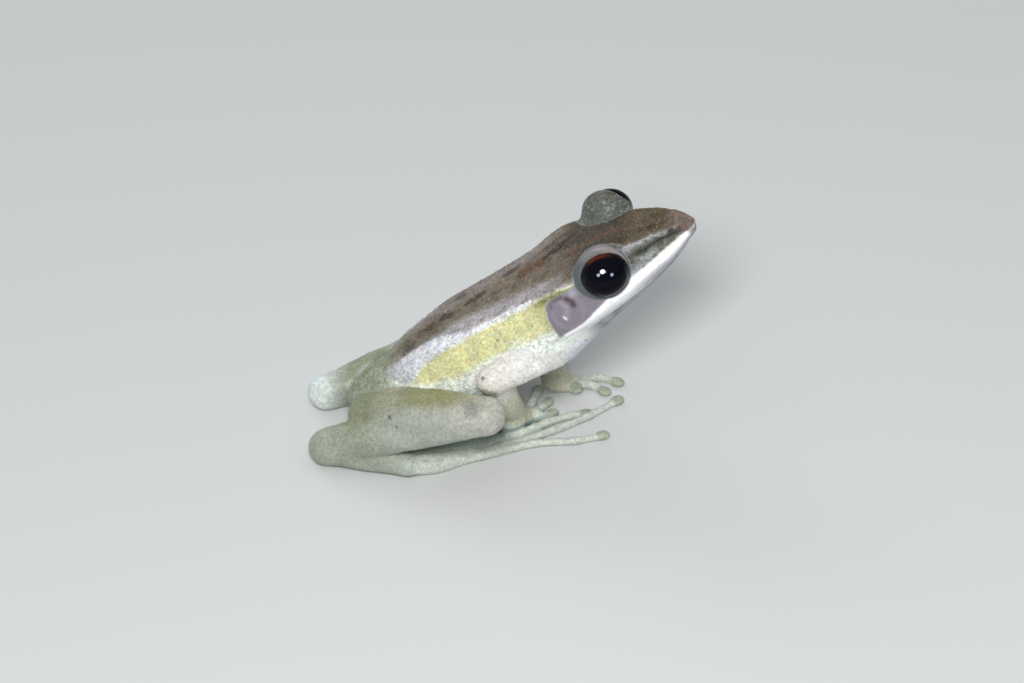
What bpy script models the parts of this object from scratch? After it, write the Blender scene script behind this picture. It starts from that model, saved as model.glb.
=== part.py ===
"""A life-size still model of a white-lipped frog, sitting alert with its head raised.

Every length below is in millimetres and every mesh is written in metres. X points the way the
frog looks, Y to its left and Z up, with the floor at Z = 0. The trunk and head are described in
their own frame: s runs along the body from the vent to the snout, y to the left, z to the back.
"""
import math

import bmesh
import bpy
import numpy as np
from mathutils import Matrix, Vector

MM = 0.001
GAP = 0.3
RIGHT, LEFT = -1, 1
SIDE_NAMES = {RIGHT: "right", LEFT: "left"}

# Trunk and head: where the vent lies, how steeply the body rises, and its length
VENT = (4.6, 0.0, 5.0)
BODY_PITCH = math.radians(27.5)
BODY_LENGTH = 42.8
VENT_ROUNDING = 4.0
SNOUT_ROUNDING = 3.4
VENT_HEIGHT = -0.6
SNOUT_HEIGHT = 0.25
STATION_STEP = 0.85
POINTS_PER_SPAN = 3

# Lines that run from vent to snout, as (s, y, z) points: half widths and heights
BACK_LINE = ((0, 0, 0.8), (3, 0, 1.4), (6, 0, 2.15), (10, 0, 2.9), (14, 0, 3.3), (20, 0, 3.6),
             (26, 0, 3.9), (31, 0, 4.15), (35, 0, 3.95), (38, 0, 3.3), (40.5, 0, 2.5), (43.2, 0, 1.2))
FOLD_LINE = ((0, 1.2, 0.2), (3, 2.1, 0.6), (6, 2.8, 1.35), (10, 3.25, 2.3), (14, 3.5, 2.85),
             (20, 3.7, 3.1), (25, 4.1, 3.35), (28, 4.6, 3.75), (31, 4.6, 3.9), (35, 3.4, 3.55),
             (38, 2.55, 2.9), (40.5, 1.9, 2.1), (43.2, 1.1, 1.1))
SIDE_LINE = ((0, 1.9, -0.6), (4, 3.5, -0.6), (8, 4.7, -0.7), (12, 5.5, -0.9), (16, 5.85, -1.1),
             (20, 6.0, -1.0), (24, 6.2, 0.4), (28, 6.2, 1.7), (31, 5.75, 1.8), (34, 4.95, 1.7),
             (37, 3.75, 1.6), (40, 2.55, 1.2), (43.2, 1.4, 0.7))
LIP_LINE = ((0, 1.7, -1.7), (4, 2.9, -2.1), (8, 4.2, -2.6), (12, 5.1, -3.0), (16, 5.6, -3.2),
            (20, 5.9, -2.8), (24.6, 6.5, -1.1), (28, 6.75, -0.6), (31, 6.4, -0.25), (34, 5.7, -0.05),
            (37, 4.6, -0.05), (40, 3.15, -0.05), (43.2, 1.7, 0.0))
JAW_LINE = ((0, 1.0, -2.2), (4, 1.9, -3.1), (8, 2.9, -4.2), (12, 3.7, -4.9), (16, 4.1, -5.3),
            (20, 4.2, -5.5), (24, 4.3, -5.4), (28, 4.6, -4.0), (31.4, 4.5, -3.0), (35.5, 3.7, -2.35),
            (39.4, 2.4, -1.55), (43.2, 1.2, -0.7))
BELLY_LINE = ((0, 0, -2.4), (4, 0, -3.6), (8, 0, -4.9), (12, 0, -5.7), (16, 0, -6.2),
              (20, 0, -6.6), (23.5, 0, -6.7), (26, 0, -5.9), (28.5, 0, -4.8), (31.4, 0, -3.7),
              (35.5, 0, -2.8), (39.4, 0, -1.9), (43.2, 0, -1.0))
FOLD_RIDGE = 0.28
FOLD_SPREAD = 0.45
FOLD_START, FOLD_END = (4, 9), (29, 31)
LIP_SWELL = 0.18
LIP_SPREAD = 0.35
LIP_START = (24, 27)
CLOSING_TURNS = (14, 27, 40, 53, 66, 78)
MOUTH_BELOW_LIP = ((16, 0.5), (25, 0.6), (29, 0.9), (33, 1.1), (37, 0.95), (40, 0.65), (43.2, 0.4))
JAW_BLOCK_START = 16.4
JAW_BLOCK_STATIONS = 26
JAW_BLOCK_HALF_WIDTH = 12
JAW_BLOCK_HEIGHT = 14
NECK_TOP = (19.9, 3.9)
NECK_LEAN = 0.63

# Eye, its lids, nostril, ear drum and the gland behind the corner of the mouth
EYE_CENTRES = {RIGHT: (33.25, -5.05, 2.8), LEFT: (34.1, 5.05, 2.85)}
EYE_RADII = (2.6, 2.45, 2.4)
SOCKET_CLEARANCE = 0.17
LID_THICKNESS = 0.5
LID_RIM_OFFSET = 0.2
LID_FACING = (0.2, 1.0, 0.14)
NOSTRIL = (40.9, 1.8, 1.8)
NOSTRIL_RADII = (0.39, 0.48, 0.24)
DRUM_CENTRE = (27.75, 6.33, 1.4)
DRUM_FACING = (-0.05, 1.0, 0.36)
DRUM_RADIUS = 1.75
DRUM_THICKNESS = 0.55
DRUM_SINK = 0.05
GLAND_CENTRE = (24.75, 6.3, -0.45)
GLAND_RADII = (1.35, 0.75, 0.6)

# Limb joints on each side of the body, and the thickness of the limbs at them
LIMBS = {
    RIGHT: {
        "hip": (6.8, -2.9, 4.4), "thigh": (13.3, -7.7, 7.8), "knee": (19.1, -10.2, 9.1),
        "heel": (1.5, -4.4, 1.8), "instep": (10.0, -7.6, 1.3),
        "shoulder": (26.0, -4.8, 13.0), "elbow": (20.0, -7.1, 11.35), "wrist": (21.9, -0.75, 1.25),
    },
    LEFT: {
        "hip": (7.4, 3.0, 3.8), "thigh": (13.6, 7.3, 5.2), "knee": (20.2, 10.5, 5.6),
        "heel": (1.4, 5.1, 1.75), "instep": (10.3, 7.7, 1.2),
        "shoulder": (26.0, 4.8, 13.0), "elbow": (21.6, 7.9, 10.6), "wrist": (26.2, 5.1, 1.25),
    },
}
HIP_RADIUS, THIGH_RADIUS, KNEE_RADIUS = 2.4, 2.75, 1.9
SHANK_RADIUS, ANKLE_RADIUS, HEEL_RADIUS = 2.15, 1.9, 1.75
TARSUS_RADIUS, INSTEP_RADIUS = 1.6, 1.25
SHOULDER_RADIUS, UPPER_ARM_RADIUS, ELBOW_RADIUS = 2.0, 1.9, 1.55
FOREARM_RADIUS, LOWER_ARM_RADIUS, WRIST_RADIUS = 1.65, 1.3, 1.05

# Feet and hands: the sole or palm, and the digits from the inner one to the outer one
SOLE_HEIGHT = 0.62
SOLE_RADIUS, SOLE_END_RADIUS = 1.35, 0.6
SOLE_FLATTEN = 0.8
PALM_HEIGHT = 0.62
PALM_RADIUS, PALM_END_RADIUS = 1.15, 0.9
PALM_LENGTH = 0.7
PALM_FLATTEN = 0.7
DIGIT_HEIGHT = 0.4
DIGIT_RADIUS = 0.46
DIGIT_ROOT, DIGIT_TAPER = 1.15, 0.25
DIGIT_FLATTEN = 0.95
DISC_RADII = (0.78, 0.66, 0.42)
WEB_THICKNESS = 0.5
WEB_FLOOR = 0.12
WEB_ROWS, WEB_COLUMNS = 6, 4
WEB_HOLLOW = 0.22
END_TURNS = (20, 48, 72)
WELD = 0.004
TOES = {
    RIGHT: (
        ((11.8, -6.5), (14.6, -4.9), (17.4, -3.6)),
        ((12.6, -6.5), (16.8, -4.4), (20.1, -3.0)),
        ((13.5, -6.7), (19.5, -3.9), (25.1, -1.25), (27.6, -0.3), (29.2, -0.1)),
        ((13.5, -7.1), (20.0, -4.8), (25.7, -2.6), (29.4, -0.55), (32.6, 1.75)),
        ((12.5, -7.6), (18.0, -6.1), (23.6, -4.6), (27.9, -4.6), (30.9, -4.0)),
    ),
    LEFT: (
        ((11.6, 8.0), (15.2, 8.2), (18.6, 8.5)),
        ((12.5, 8.5), (17.6, 9.4), (22.0, 10.2)),
        ((13.4, 8.9), (20.0, 11.2), (25.4, 12.6), (28.0, 13.2)),
        ((13.2, 9.3), (20.2, 13.2), (25.8, 16.3), (30.9, 18.7)),
        ((12.2, 9.2), (17.4, 13.3), (21.8, 17.3), (26.2, 20.2)),
    ),
}
WEB_REACH = {RIGHT: (0.75, 0.75, 0.8, 0.72), LEFT: (0.75, 0.8, 0.8, 0.76)}
FINGERS = {
    RIGHT: (
        ((22.7, 0.4), (22.3, 1.7), (22.0, 2.9)),
        ((23.0, 0.3), (23.5, 2.4), (24.05, 4.5)),
        ((23.4, 0.2), (24.3, 1.2), (25.15, 2.3)),
        ((23.5, -0.1), (24.5, -0.25), (25.6, 0.35)),
    ),
    LEFT: (
        ((27.2, 5.2), (27.7, 4.6), (28.2, 4.2)),
        ((27.9, 5.2), (29.9, 4.6), (31.3, 3.5)),
        ((28.0, 5.6), (30.8, 5.9), (32.7, 4.9)),
        ((27.2, 5.9), (26.8, 7.9), (26.5, 9.8)),
    ),
}
PALMS = {RIGHT: (22.9, 0.05), LEFT: (27.2, 5.3)}

COLOURS = {
    "skin_back": (0.20, 0.135, 0.085), "skin_jaw": (0.62, 0.60, 0.60), "skin_leg": (0.29, 0.27, 0.20),
    "skin_foot": (0.36, 0.32, 0.26), "eye": (0.012, 0.008, 0.007), "drum": (0.13, 0.085, 0.08),
}


def smooth_curve(points):
    """A smooth function of s through (s, value) points, with even slopes between neighbours."""
    s_values = np.array([p[0] for p in points], float)
    values = np.array([p[1] for p in points], float)
    slopes = np.gradient(values, s_values)

    def at(s):
        i = np.clip(np.searchsorted(s_values, s) - 1, 0, len(s_values) - 2)
        span = s_values[i + 1] - s_values[i]
        t = (s - s_values[i]) / span
        return (values[i] * (1 + 2 * t) * (1 - t) ** 2 + values[i + 1] * t * t * (3 - 2 * t)
                + span * (slopes[i] * t * (1 - t) ** 2 - slopes[i + 1] * t * t * (1 - t)))
    return at


def long_line(points):
    """The y and z of one body line as functions of s."""
    return smooth_curve([(s, y) for s, y, z in points]), smooth_curve([(s, z) for s, y, z in points])


BODY_LINES = [long_line(points) for points in
              (BACK_LINE, FOLD_LINE, SIDE_LINE, LIP_LINE, JAW_LINE, BELLY_LINE)]
MOUTH_DROP = smooth_curve(MOUTH_BELOW_LIP)


def end_closing(s):
    """How far a section has closed towards its middle: 1 along the body, 0 at vent and snout."""
    if s < VENT_ROUNDING:
        return math.sqrt(max(0.0, 1 - (1 - s / VENT_ROUNDING) ** 2))
    from_tip = BODY_LENGTH - s
    if from_tip < SNOUT_ROUNDING:
        return math.sqrt(max(0.0, 1 - (1 - from_tip / SNOUT_ROUNDING) ** 2))
    return 1.0


def spline_point(p0, p1, p2, p3, t):
    """A point at t on the Catmull-Rom stretch from p1 to p2."""
    return 0.5 * (2 * p1 + (p2 - p0) * t + (2 * p0 - 5 * p1 + 4 * p2 - p3) * t * t
                  + (3 * p1 - p0 - 3 * p2 + p3) * t ** 3)


def body_section(s, grow=0.0):
    """The closed outline of the body at s, as (y, z) pairs from the back round to the belly."""
    knots = [np.array((y(s), z(s))) for y, z in BODY_LINES]
    mirror = np.array((-1.0, 1.0))
    knots = [knots[1] * mirror] + knots + [knots[-2] * mirror]
    half = []
    for i in range(1, len(knots) - 2):
        for step in range(POINTS_PER_SPAN):
            half.append(spline_point(*knots[i - 1:i + 3], step / POINTS_PER_SPAN))
    half.append(knots[-2])
    half = np.array(half)
    half[0, 0] = half[-1, 0] = 0.0
    ring = np.vstack((half, half[-2:0:-1] * mirror))
    outward = np.roll(ring, -1, axis=0) - np.roll(ring, 1, axis=0)
    outward = np.stack((-outward[:, 1], outward[:, 0]), axis=1)
    outward /= np.linalg.norm(outward, axis=1)[:, None]
    if np.dot(outward[len(ring) // 4], ring[len(ring) // 4]) < 0:
        outward = -outward
    for side in (RIGHT, LEFT):
        ring = ring + outward * surface_relief(s, ring, side)[:, None]
    middle = np.array((0.0, VENT_HEIGHT if s < BODY_LENGTH / 2 else SNOUT_HEIGHT))
    return middle + (ring - middle) * end_closing(s) + outward * grow


def surface_relief(s, ring, side):
    """Height of the fold along the back's edge and of the upper lip over the plain section."""
    fold = np.array((side * BODY_LINES[1][0](s), BODY_LINES[1][1](s)))
    lip = np.array((side * BODY_LINES[3][0](s), BODY_LINES[3][1](s)))
    fold_strength = FOLD_RIDGE * smooth_step(*FOLD_START, s) * (1 - smooth_step(*FOLD_END, s))
    lip_strength = LIP_SWELL * smooth_step(*LIP_START, s)
    return (fold_strength * np.exp(-np.sum((ring - fold) ** 2, axis=1) / FOLD_SPREAD)
            + lip_strength * np.exp(-np.sum((ring - lip) ** 2, axis=1) / LIP_SPREAD))


def smooth_step(low, high, value):
    t = min(1.0, max(0.0, (value - low) / (high - low)))
    return t * t * (3 - 2 * t)


def from_body(s, y, z):
    """World place of a point of the body frame."""
    return Vector((VENT[0] + s * math.cos(BODY_PITCH) - z * math.sin(BODY_PITCH), VENT[1] + y,
                   VENT[2] + s * math.sin(BODY_PITCH) + z * math.cos(BODY_PITCH)))


BODY_TURN = Matrix.Rotation(-BODY_PITCH, 4, "Y")


def mesh_object(name, build):
    """A new object whose mesh the function build fills, in millimetres."""
    mesh = bpy.data.meshes.new(name)
    work = bmesh.new()
    build(work)
    bmesh.ops.recalc_face_normals(work, faces=work.faces)
    work.to_mesh(mesh)
    work.free()
    obj = bpy.data.objects.new(name, mesh)
    bpy.context.scene.collection.objects.link(obj)
    return obj


def loft(name, rings, start_tip=None, end_tip=None):
    """A closed skin over rings of like point counts, closed by a point or a flat face."""
    def build(work):
        loops = [[work.verts.new(p) for p in ring] for ring in rings]
        count = len(loops[0])
        for a, b in zip(loops, loops[1:]):
            for i in range(count):
                j = (i + 1) % count
                work.faces.new((a[i], a[j], b[j], b[i]))
        for loop, tip in ((loops[0], start_tip), (loops[-1], end_tip)):
            if tip is None:
                work.faces.new(loop)
                continue
            pole = work.verts.new(tip)
            for i in range(count):
                work.faces.new((loop[i], loop[(i + 1) % count], pole))
    return mesh_object(name, build)


def body_solid(name, grow=0.0):
    """The whole trunk and head as one solid, optionally grown outward."""
    inner = np.arange(VENT_ROUNDING, BODY_LENGTH - SNOUT_ROUNDING, STATION_STEP)
    turns = np.radians(CLOSING_TURNS)
    vent_end = VENT_ROUNDING * (1 - np.cos(turns))
    snout_end = BODY_LENGTH - SNOUT_ROUNDING * (1 - np.cos(turns[::-1]))
    stations = np.concatenate((vent_end, inner, snout_end))
    rings = []
    for s in stations:
        rings.append([from_body(s, y, z) for y, z in body_section(s, grow)])
    return loft(name, rings, from_body(-grow, 0, VENT_HEIGHT), from_body(BODY_LENGTH + grow, 0, SNOUT_HEIGHT))


def limb(name, joints, radii, sides=14, flatten=1.0, step=1.0):
    """A round limb along a smooth line through its joints, with rounded ends."""
    path, sizes = smooth_path([Vector(p) for p in joints], radii, step)
    rings = []
    first = (path[1] - path[0]).normalized()
    last = (path[-1] - path[-2]).normalized()
    for turn in END_TURNS:
        a = math.radians(turn)
        rings.append(ring(path[0] - first * sizes[0] * math.cos(a), first,
                          sizes[0] * math.sin(a), sides, flatten))
    for i, (p, r) in enumerate(zip(path, sizes)):
        along = path[min(i + 1, len(path) - 1)] - path[max(i - 1, 0)]
        rings.append(ring(p, along.normalized(), r, sides, flatten))
    for turn in END_TURNS[::-1]:
        a = math.radians(turn)
        rings.append(ring(path[-1] + last * sizes[-1] * math.cos(a), last,
                          sizes[-1] * math.sin(a), sides, flatten))
    return loft(name, rings, path[0] - first * sizes[0], path[-1] + last * sizes[-1])


def smooth_path(points, radii, step):
    """Points and radii at even steps on a smooth line through a limb's joints."""
    spans = list(zip(points, radii))
    spans = [spans[0]] + spans + [spans[-1]]
    path, sizes = [], []
    for k in range(1, len(spans) - 2):
        length = (spans[k + 1][0] - spans[k][0]).length
        count = max(1, round(length / step))
        for i in range(count):
            t = i / count
            p = spline_point(*(np.array(q[0]) for q in spans[k - 1:k + 3]), t)
            path.append(Vector(p))
            sizes.append(float(spline_point(*(q[1] for q in spans[k - 1:k + 3]), t)))
    path.append(points[-1].copy())
    sizes.append(radii[-1])
    return path, sizes


def ring(centre, along, radius, sides, flatten):
    """A ring of points round a limb, flattened from above where flatten is under 1."""
    across = Vector((0, 0, 1)).cross(along)
    if across.length < 0.05:
        across = Vector((0, 1, 0))
    across.normalize()
    upward = along.cross(across).normalized()
    points = []
    for i in range(sides):
        a = 2 * math.pi * i / sides
        points.append(centre + across * (radius * math.cos(a)) + upward * (radius * flatten * math.sin(a)))
    return points


def ellipsoid(name, centre, radii, turn=None, segments=16):
    """An ellipsoid, turned by a rotation matrix if one is given."""
    def build(work):
        bmesh.ops.create_uvsphere(work, u_segments=segments, v_segments=segments // 2 + 2, radius=1.0)
        matrix = Matrix.Translation(centre) @ (turn or Matrix()) @ Matrix.Diagonal((*radii, 1))
        bmesh.ops.transform(work, matrix=matrix, verts=work.verts)
    return mesh_object(name, build)


def disc(name, centre, facing, radius, thickness, segments=24):
    """A flat round disc whose axis points along facing."""
    def build(work):
        bmesh.ops.create_cone(work, cap_ends=True, segments=segments, radius1=radius, radius2=radius,
                              depth=thickness)
        turn = Vector((0, 0, 1)).rotation_difference(Vector(facing)).to_matrix().to_4x4()
        bmesh.ops.transform(work, matrix=Matrix.Translation(centre) @ turn, verts=work.verts)
    return mesh_object(name, build)


def keep_side(obj, point, normal):
    """Cut an object by a plane and keep the part on the side that the normal points to."""
    work = bmesh.new()
    work.from_mesh(obj.data)
    everything = work.verts[:] + work.edges[:] + work.faces[:]
    bmesh.ops.bisect_plane(work, geom=everything, plane_co=point, plane_no=normal, clear_inner=True,
                           dist=0.001)
    open_edges = [e for e in work.edges if e.is_boundary]
    bmesh.ops.holes_fill(work, edges=open_edges, sides=0)
    bmesh.ops.triangulate(work, faces=[f for f in work.faces if len(f.verts) > 4])
    bmesh.ops.recalc_face_normals(work, faces=work.faces)
    work.to_mesh(obj.data)
    work.free()
    return obj


def remove(obj):
    bpy.data.objects.remove(obj, do_unlink=True)


def copy_of(obj, name):
    twin = bpy.data.objects.new(name, obj.data.copy())
    bpy.context.scene.collection.objects.link(twin)
    return twin


def apply_boolean(obj, operation, others):
    """Join objects to one, or cut them out of it, and remove them."""
    group = bpy.data.collections.new("operands")
    bpy.context.scene.collection.children.link(group)
    for other in others:
        group.objects.link(other)
    modifier = obj.modifiers.new("boolean", "BOOLEAN")
    modifier.operation = operation
    modifier.operand_type = "COLLECTION"
    modifier.collection = group
    modifier.solver = "EXACT"
    evaluated = obj.evaluated_get(bpy.context.evaluated_depsgraph_get())
    mesh = bpy.data.meshes.new_from_object(evaluated)
    obj.modifiers.clear()
    obj.data = mesh
    bpy.data.collections.remove(group)
    for other in others:
        remove(other)
    keep_largest(obj)
    return obj


def keep_largest(obj):
    """Keep only the largest closed surface of a mesh."""
    work = bmesh.new()
    work.from_mesh(obj.data)
    bmesh.ops.remove_doubles(work, verts=work.verts, dist=WELD)
    bmesh.ops.dissolve_degenerate(work, edges=work.edges, dist=WELD)
    unseen = set(work.verts)
    shells = []
    while unseen:
        shell, front = set(), [unseen.pop()]
        while front:
            vert = front.pop()
            shell.add(vert)
            for edge in vert.link_edges:
                other = edge.other_vert(vert)
                if other in unseen:
                    unseen.discard(other)
                    front.append(other)
        shells.append(shell)
    shells.sort(key=shell_size, reverse=True)
    for shell in shells[1:]:
        bmesh.ops.delete(work, geom=list(shell), context="VERTS")
    work.to_mesh(obj.data)
    work.free()


def shell_size(shell):
    """The volume of the box round a set of vertices."""
    places = np.array([v.co for v in shell])
    return float(np.prod(places.max(axis=0) - places.min(axis=0) + 0.001))


def bisector(corner, one, other):
    """Normal of the plane through corner that lies midway between two limbs that meet there."""
    first = (Vector(one) - Vector(corner)).normalized()
    second = (Vector(other) - Vector(corner)).normalized()
    return (first - second).normalized()


def part_limbs(one, other, corner, normal):
    """Cut two limbs apart at a plane, each half a gap from it; the normal points to the first."""
    corner = Vector(corner)
    normal = normal.normalized()
    keep_side(one, corner + normal * GAP / 2, normal)
    keep_side(other, corner - normal * GAP / 2, -normal)


def mouth_height(s):
    """Height of the line of the mouth at s."""
    return BODY_LINES[3][1](s) - MOUTH_DROP(s)


def jaw_block(name, above):
    """A block that fills the room above or below the line of the mouth, for parting the jaws."""
    stations = np.linspace(JAW_BLOCK_START, BODY_LENGTH + 3, JAW_BLOCK_STATIONS)
    edge = -GAP / 2 if above else GAP / 2
    far = JAW_BLOCK_HEIGHT if above else -JAW_BLOCK_HEIGHT
    half = JAW_BLOCK_HALF_WIDTH
    rings = []
    for s in stations:
        z = mouth_height(min(s, BODY_LENGTH)) + edge
        corners = ((-half, z), (half, z), (half, far), (-half, far))
        rings.append([from_body(s, y, height) for y, height in corners])
    return loft(name, rings)


def neck_plane():
    """A point on the neck cut and its normal, which points to the head."""
    s, z = NECK_TOP
    along = from_body(s - NECK_LEAN, 0, z + 1) - from_body(s, 0, z)
    normal = Vector((0, 1, 0)).cross(along).normalized()
    if normal.x < 0:
        normal = -normal
    return from_body(s, 0, z), normal


def make_head_and_torso():
    """Trunk, head and lower jaw, parted at the neck and along the mouth, with lids and ear rings."""
    whole = body_solid("torso")
    point, normal = neck_plane()
    head = copy_of(whole, "head")
    keep_side(head, point + normal * GAP / 2, normal)
    torso = keep_side(whole, point - normal * GAP / 2, -normal)
    jaw = copy_of(head, "lower_jaw")
    apply_boolean(jaw, "DIFFERENCE", [jaw_block("upper_block", True)])
    added, cut = [], [jaw_block("lower_block", False)]
    for side in (RIGHT, LEFT):
        name = SIDE_NAMES[side]
        added.append(lid_dome("lids_" + name, side))
        added.append(ellipsoid("gland_" + name, from_body(*mirrored(GLAND_CENTRE, side)), GLAND_RADII,
                               BODY_TURN, 12))
        cut.append(eye_shape("socket_" + name, side, SOCKET_CLEARANCE))
        cut.append(disc("ear_pit_" + name, drum_place(side, 0.0), drum_facing(side),
                        DRUM_RADIUS + SOCKET_CLEARANCE, 2 * (DRUM_THICKNESS + SOCKET_CLEARANCE)))
        cut.append(ellipsoid("nostril_" + name, from_body(*mirrored(NOSTRIL, side)), NOSTRIL_RADII,
                             BODY_TURN, 10))
    apply_boolean(head, "UNION", added)
    apply_boolean(head, "DIFFERENCE", cut)
    return head, jaw, torso


def mirrored(place, side):
    """A body-frame place of the left side, on the side that is asked for."""
    return place[0], place[1] * side, place[2]


def eye_shape(name, side, grow):
    """The eyeball, or its socket where grow is more than 0."""
    radii = [r + grow for r in EYE_RADII]
    return ellipsoid(name, from_body(*EYE_CENTRES[side]), radii, BODY_TURN, 20)


def lid_dome(name, side):
    """The lids as a dome round the eyeball, cut open where the eye looks out."""
    dome = eye_shape(name, side, LID_THICKNESS)
    facing = body_direction(mirrored(LID_FACING, side))
    rim = from_body(*EYE_CENTRES[side]) + facing * LID_RIM_OFFSET
    return keep_side(dome, rim, -facing)


def body_direction(direction):
    return (BODY_TURN @ Vector(direction)).normalized()


def drum_facing(side):
    return body_direction(mirrored(DRUM_FACING, side))


def drum_place(side, depth):
    """A point under the middle of the ear drum, at a depth below the skin."""
    return from_body(*mirrored(DRUM_CENTRE, side)) - drum_facing(side) * depth


def make_drum(side):
    """The ear drum, a shallow disc in its ring."""
    depth = DRUM_THICKNESS / 2 + DRUM_SINK
    return disc("tympanum_" + SIDE_NAMES[side], drum_place(side, depth), drum_facing(side), DRUM_RADIUS,
                DRUM_THICKNESS)


def make_arm(side, body_cutter):
    """Upper arm and forearm, parted at the elbow."""
    joints = LIMBS[side]
    name = SIDE_NAMES[side]
    shoulder, elbow, wrist = (Vector(joints[key]) for key in ("shoulder", "elbow", "wrist"))
    upper = limb("upper_arm_" + name, (shoulder, (shoulder + elbow) / 2, elbow),
                 (SHOULDER_RADIUS, UPPER_ARM_RADIUS, ELBOW_RADIUS))
    forearm = limb("forearm_" + name, (elbow, elbow.lerp(wrist, 0.35), elbow.lerp(wrist, 0.75), wrist),
                   (ELBOW_RADIUS, FOREARM_RADIUS, LOWER_ARM_RADIUS, WRIST_RADIUS))
    part_limbs(upper, forearm, elbow, bisector(elbow, shoulder, wrist))
    for piece in (upper, forearm):
        apply_boolean(piece, "DIFFERENCE", [copy_of(body_cutter, "body_cutter_copy")])
    return upper, forearm


def make_leg(side, body_cutter):
    """Thigh, shank and tarsus, folded on one another and parted at knee and heel."""
    joints = LIMBS[side]
    name = SIDE_NAMES[side]
    hip, middle, knee, heel, instep = (Vector(joints[key])
                                       for key in ("hip", "thigh", "knee", "heel", "instep"))
    thigh = limb("thigh_" + name, (hip, middle, knee), (HIP_RADIUS, THIGH_RADIUS, KNEE_RADIUS))
    shank = limb("shank_" + name, (knee, knee.lerp(heel, 0.35), knee.lerp(heel, 0.75), heel),
                 (KNEE_RADIUS, SHANK_RADIUS, ANKLE_RADIUS, HEEL_RADIUS))
    tarsus = limb("tarsus_" + name, (heel, heel.lerp(instep, 0.5), instep),
                  (HEEL_RADIUS, TARSUS_RADIUS, INSTEP_RADIUS))
    part_limbs(thigh, shank, knee, bisector(knee, middle, heel))
    part_limbs(shank, tarsus, heel, bisector(heel, knee, instep))
    for piece in (thigh, shank):
        apply_boolean(piece, "DIFFERENCE", [copy_of(body_cutter, "body_cutter_copy")])
    for piece in (shank, tarsus):
        keep_side(piece, Vector((0, 0, 0)), Vector((0, 0, 1)))
    return thigh, shank, tarsus


def digit(name, path):
    """One toe or finger lying on the floor, with the disc at its tip."""
    points = [Vector((x, y, DIGIT_HEIGHT)) for x, y in path]
    last = len(points) - 1
    radii = [DIGIT_RADIUS * (DIGIT_ROOT - DIGIT_TAPER * i / last) for i in range(len(points))]
    tube = limb(name, points, radii, sides=8, flatten=DIGIT_FLATTEN, step=2.0)
    heading = points[-1] - points[-2]
    turn = Matrix.Rotation(math.atan2(heading.y, heading.x), 4, "Z")
    pad = ellipsoid(name + "_disc", points[-1], DISC_RADII, turn, 10)
    return [tube, pad]


def web(name, inner, outer, reach):
    """Skin between two toes, a thin plate from their roots out to a hollow edge."""
    rows, columns = WEB_ROWS, WEB_COLUMNS
    low = WEB_FLOOR
    high = low + WEB_THICKNESS
    inner_path, _ = smooth_path([Vector((x, y, 0)) for x, y in inner], [1.0] * len(inner), 0.5)
    outer_path, _ = smooth_path([Vector((x, y, 0)) for x, y in outer], [1.0] * len(outer), 0.5)

    def plate_point(row, column):
        across = column / columns
        along = reach * row / rows * (1 - WEB_HOLLOW * 4 * across * (1 - across) * row / rows)
        a = inner_path[min(len(inner_path) - 1, round(along * (len(inner_path) - 1)))]
        b = outer_path[min(len(outer_path) - 1, round(along * (len(outer_path) - 1)))]
        return a.lerp(b, across)

    def build(work):
        sheets = []
        for height in (low, high):
            sheets.append([[work.verts.new((*plate_point(row, column).xy, height))
                            for column in range(columns + 1)] for row in range(rows + 1)])
        for sheet in sheets:
            for row in range(rows):
                for column in range(columns):
                    work.faces.new((sheet[row][column], sheet[row][column + 1],
                                    sheet[row + 1][column + 1], sheet[row + 1][column]))
        edge = ([(0, c) for c in range(columns)] + [(r, columns) for r in range(rows)]
                + [(rows, c) for c in range(columns, 0, -1)] + [(r, 0) for r in range(rows, 0, -1)])
        for (r1, c1), (r2, c2) in zip(edge, edge[1:] + edge[:1]):
            work.faces.new((sheets[0][r1][c1], sheets[0][r2][c2], sheets[1][r2][c2], sheets[1][r1][c1]))
    return mesh_object(name, build)


def make_foot(side, tarsus):
    """The foot: instep and sole, five toes with discs, and the webs between them."""
    name = SIDE_NAMES[side]
    toes = TOES[side]
    instep = Vector(LIMBS[side]["instep"])
    heel = Vector(LIMBS[side]["heel"])
    root = Vector((*(Vector(toes[2][0]) + Vector(toes[3][0])) / 2, SOLE_HEIGHT))
    ahead = Vector((*(Vector(toes[2][1]) + Vector(toes[3][1])) / 2, SOLE_HEIGHT - 0.1))
    foot = limb("foot_" + name, (instep, root, ahead), (INSTEP_RADIUS, SOLE_RADIUS, SOLE_END_RADIUS), 12,
                SOLE_FLATTEN)
    pieces = []
    for i, path in enumerate(toes):
        pieces += digit("toe", path)
        if i:
            pieces.append(web("web", toes[i - 1], path, WEB_REACH[side][i - 1]))
    apply_boolean(foot, "UNION", pieces)
    part_limbs(foot, tarsus, instep, (root - instep).normalized() + (instep - heel).normalized())
    return keep_side(foot, Vector((0, 0, 0)), Vector((0, 0, 1)))


def make_hand(side, forearm):
    """The hand: palm and four fingers with discs."""
    name = SIDE_NAMES[side]
    wrist = Vector(LIMBS[side]["wrist"])
    elbow = Vector(LIMBS[side]["elbow"])
    palm_centre = Vector((*PALMS[side], PALM_HEIGHT))
    hand = limb("hand_" + name, (wrist, palm_centre, palm_centre + Vector((PALM_LENGTH, 0, 0))),
                (WRIST_RADIUS, PALM_RADIUS, PALM_END_RADIUS), 12, PALM_FLATTEN, 0.6)
    pieces = []
    for path in FINGERS[side]:
        pieces += digit("finger", path)
    apply_boolean(hand, "UNION", pieces)
    normal = (palm_centre - wrist).normalized() + (wrist - elbow).normalized()
    part_limbs(hand, forearm, wrist, normal)
    return keep_side(hand, Vector((0, 0, 0)), Vector((0, 0, 1)))


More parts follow.
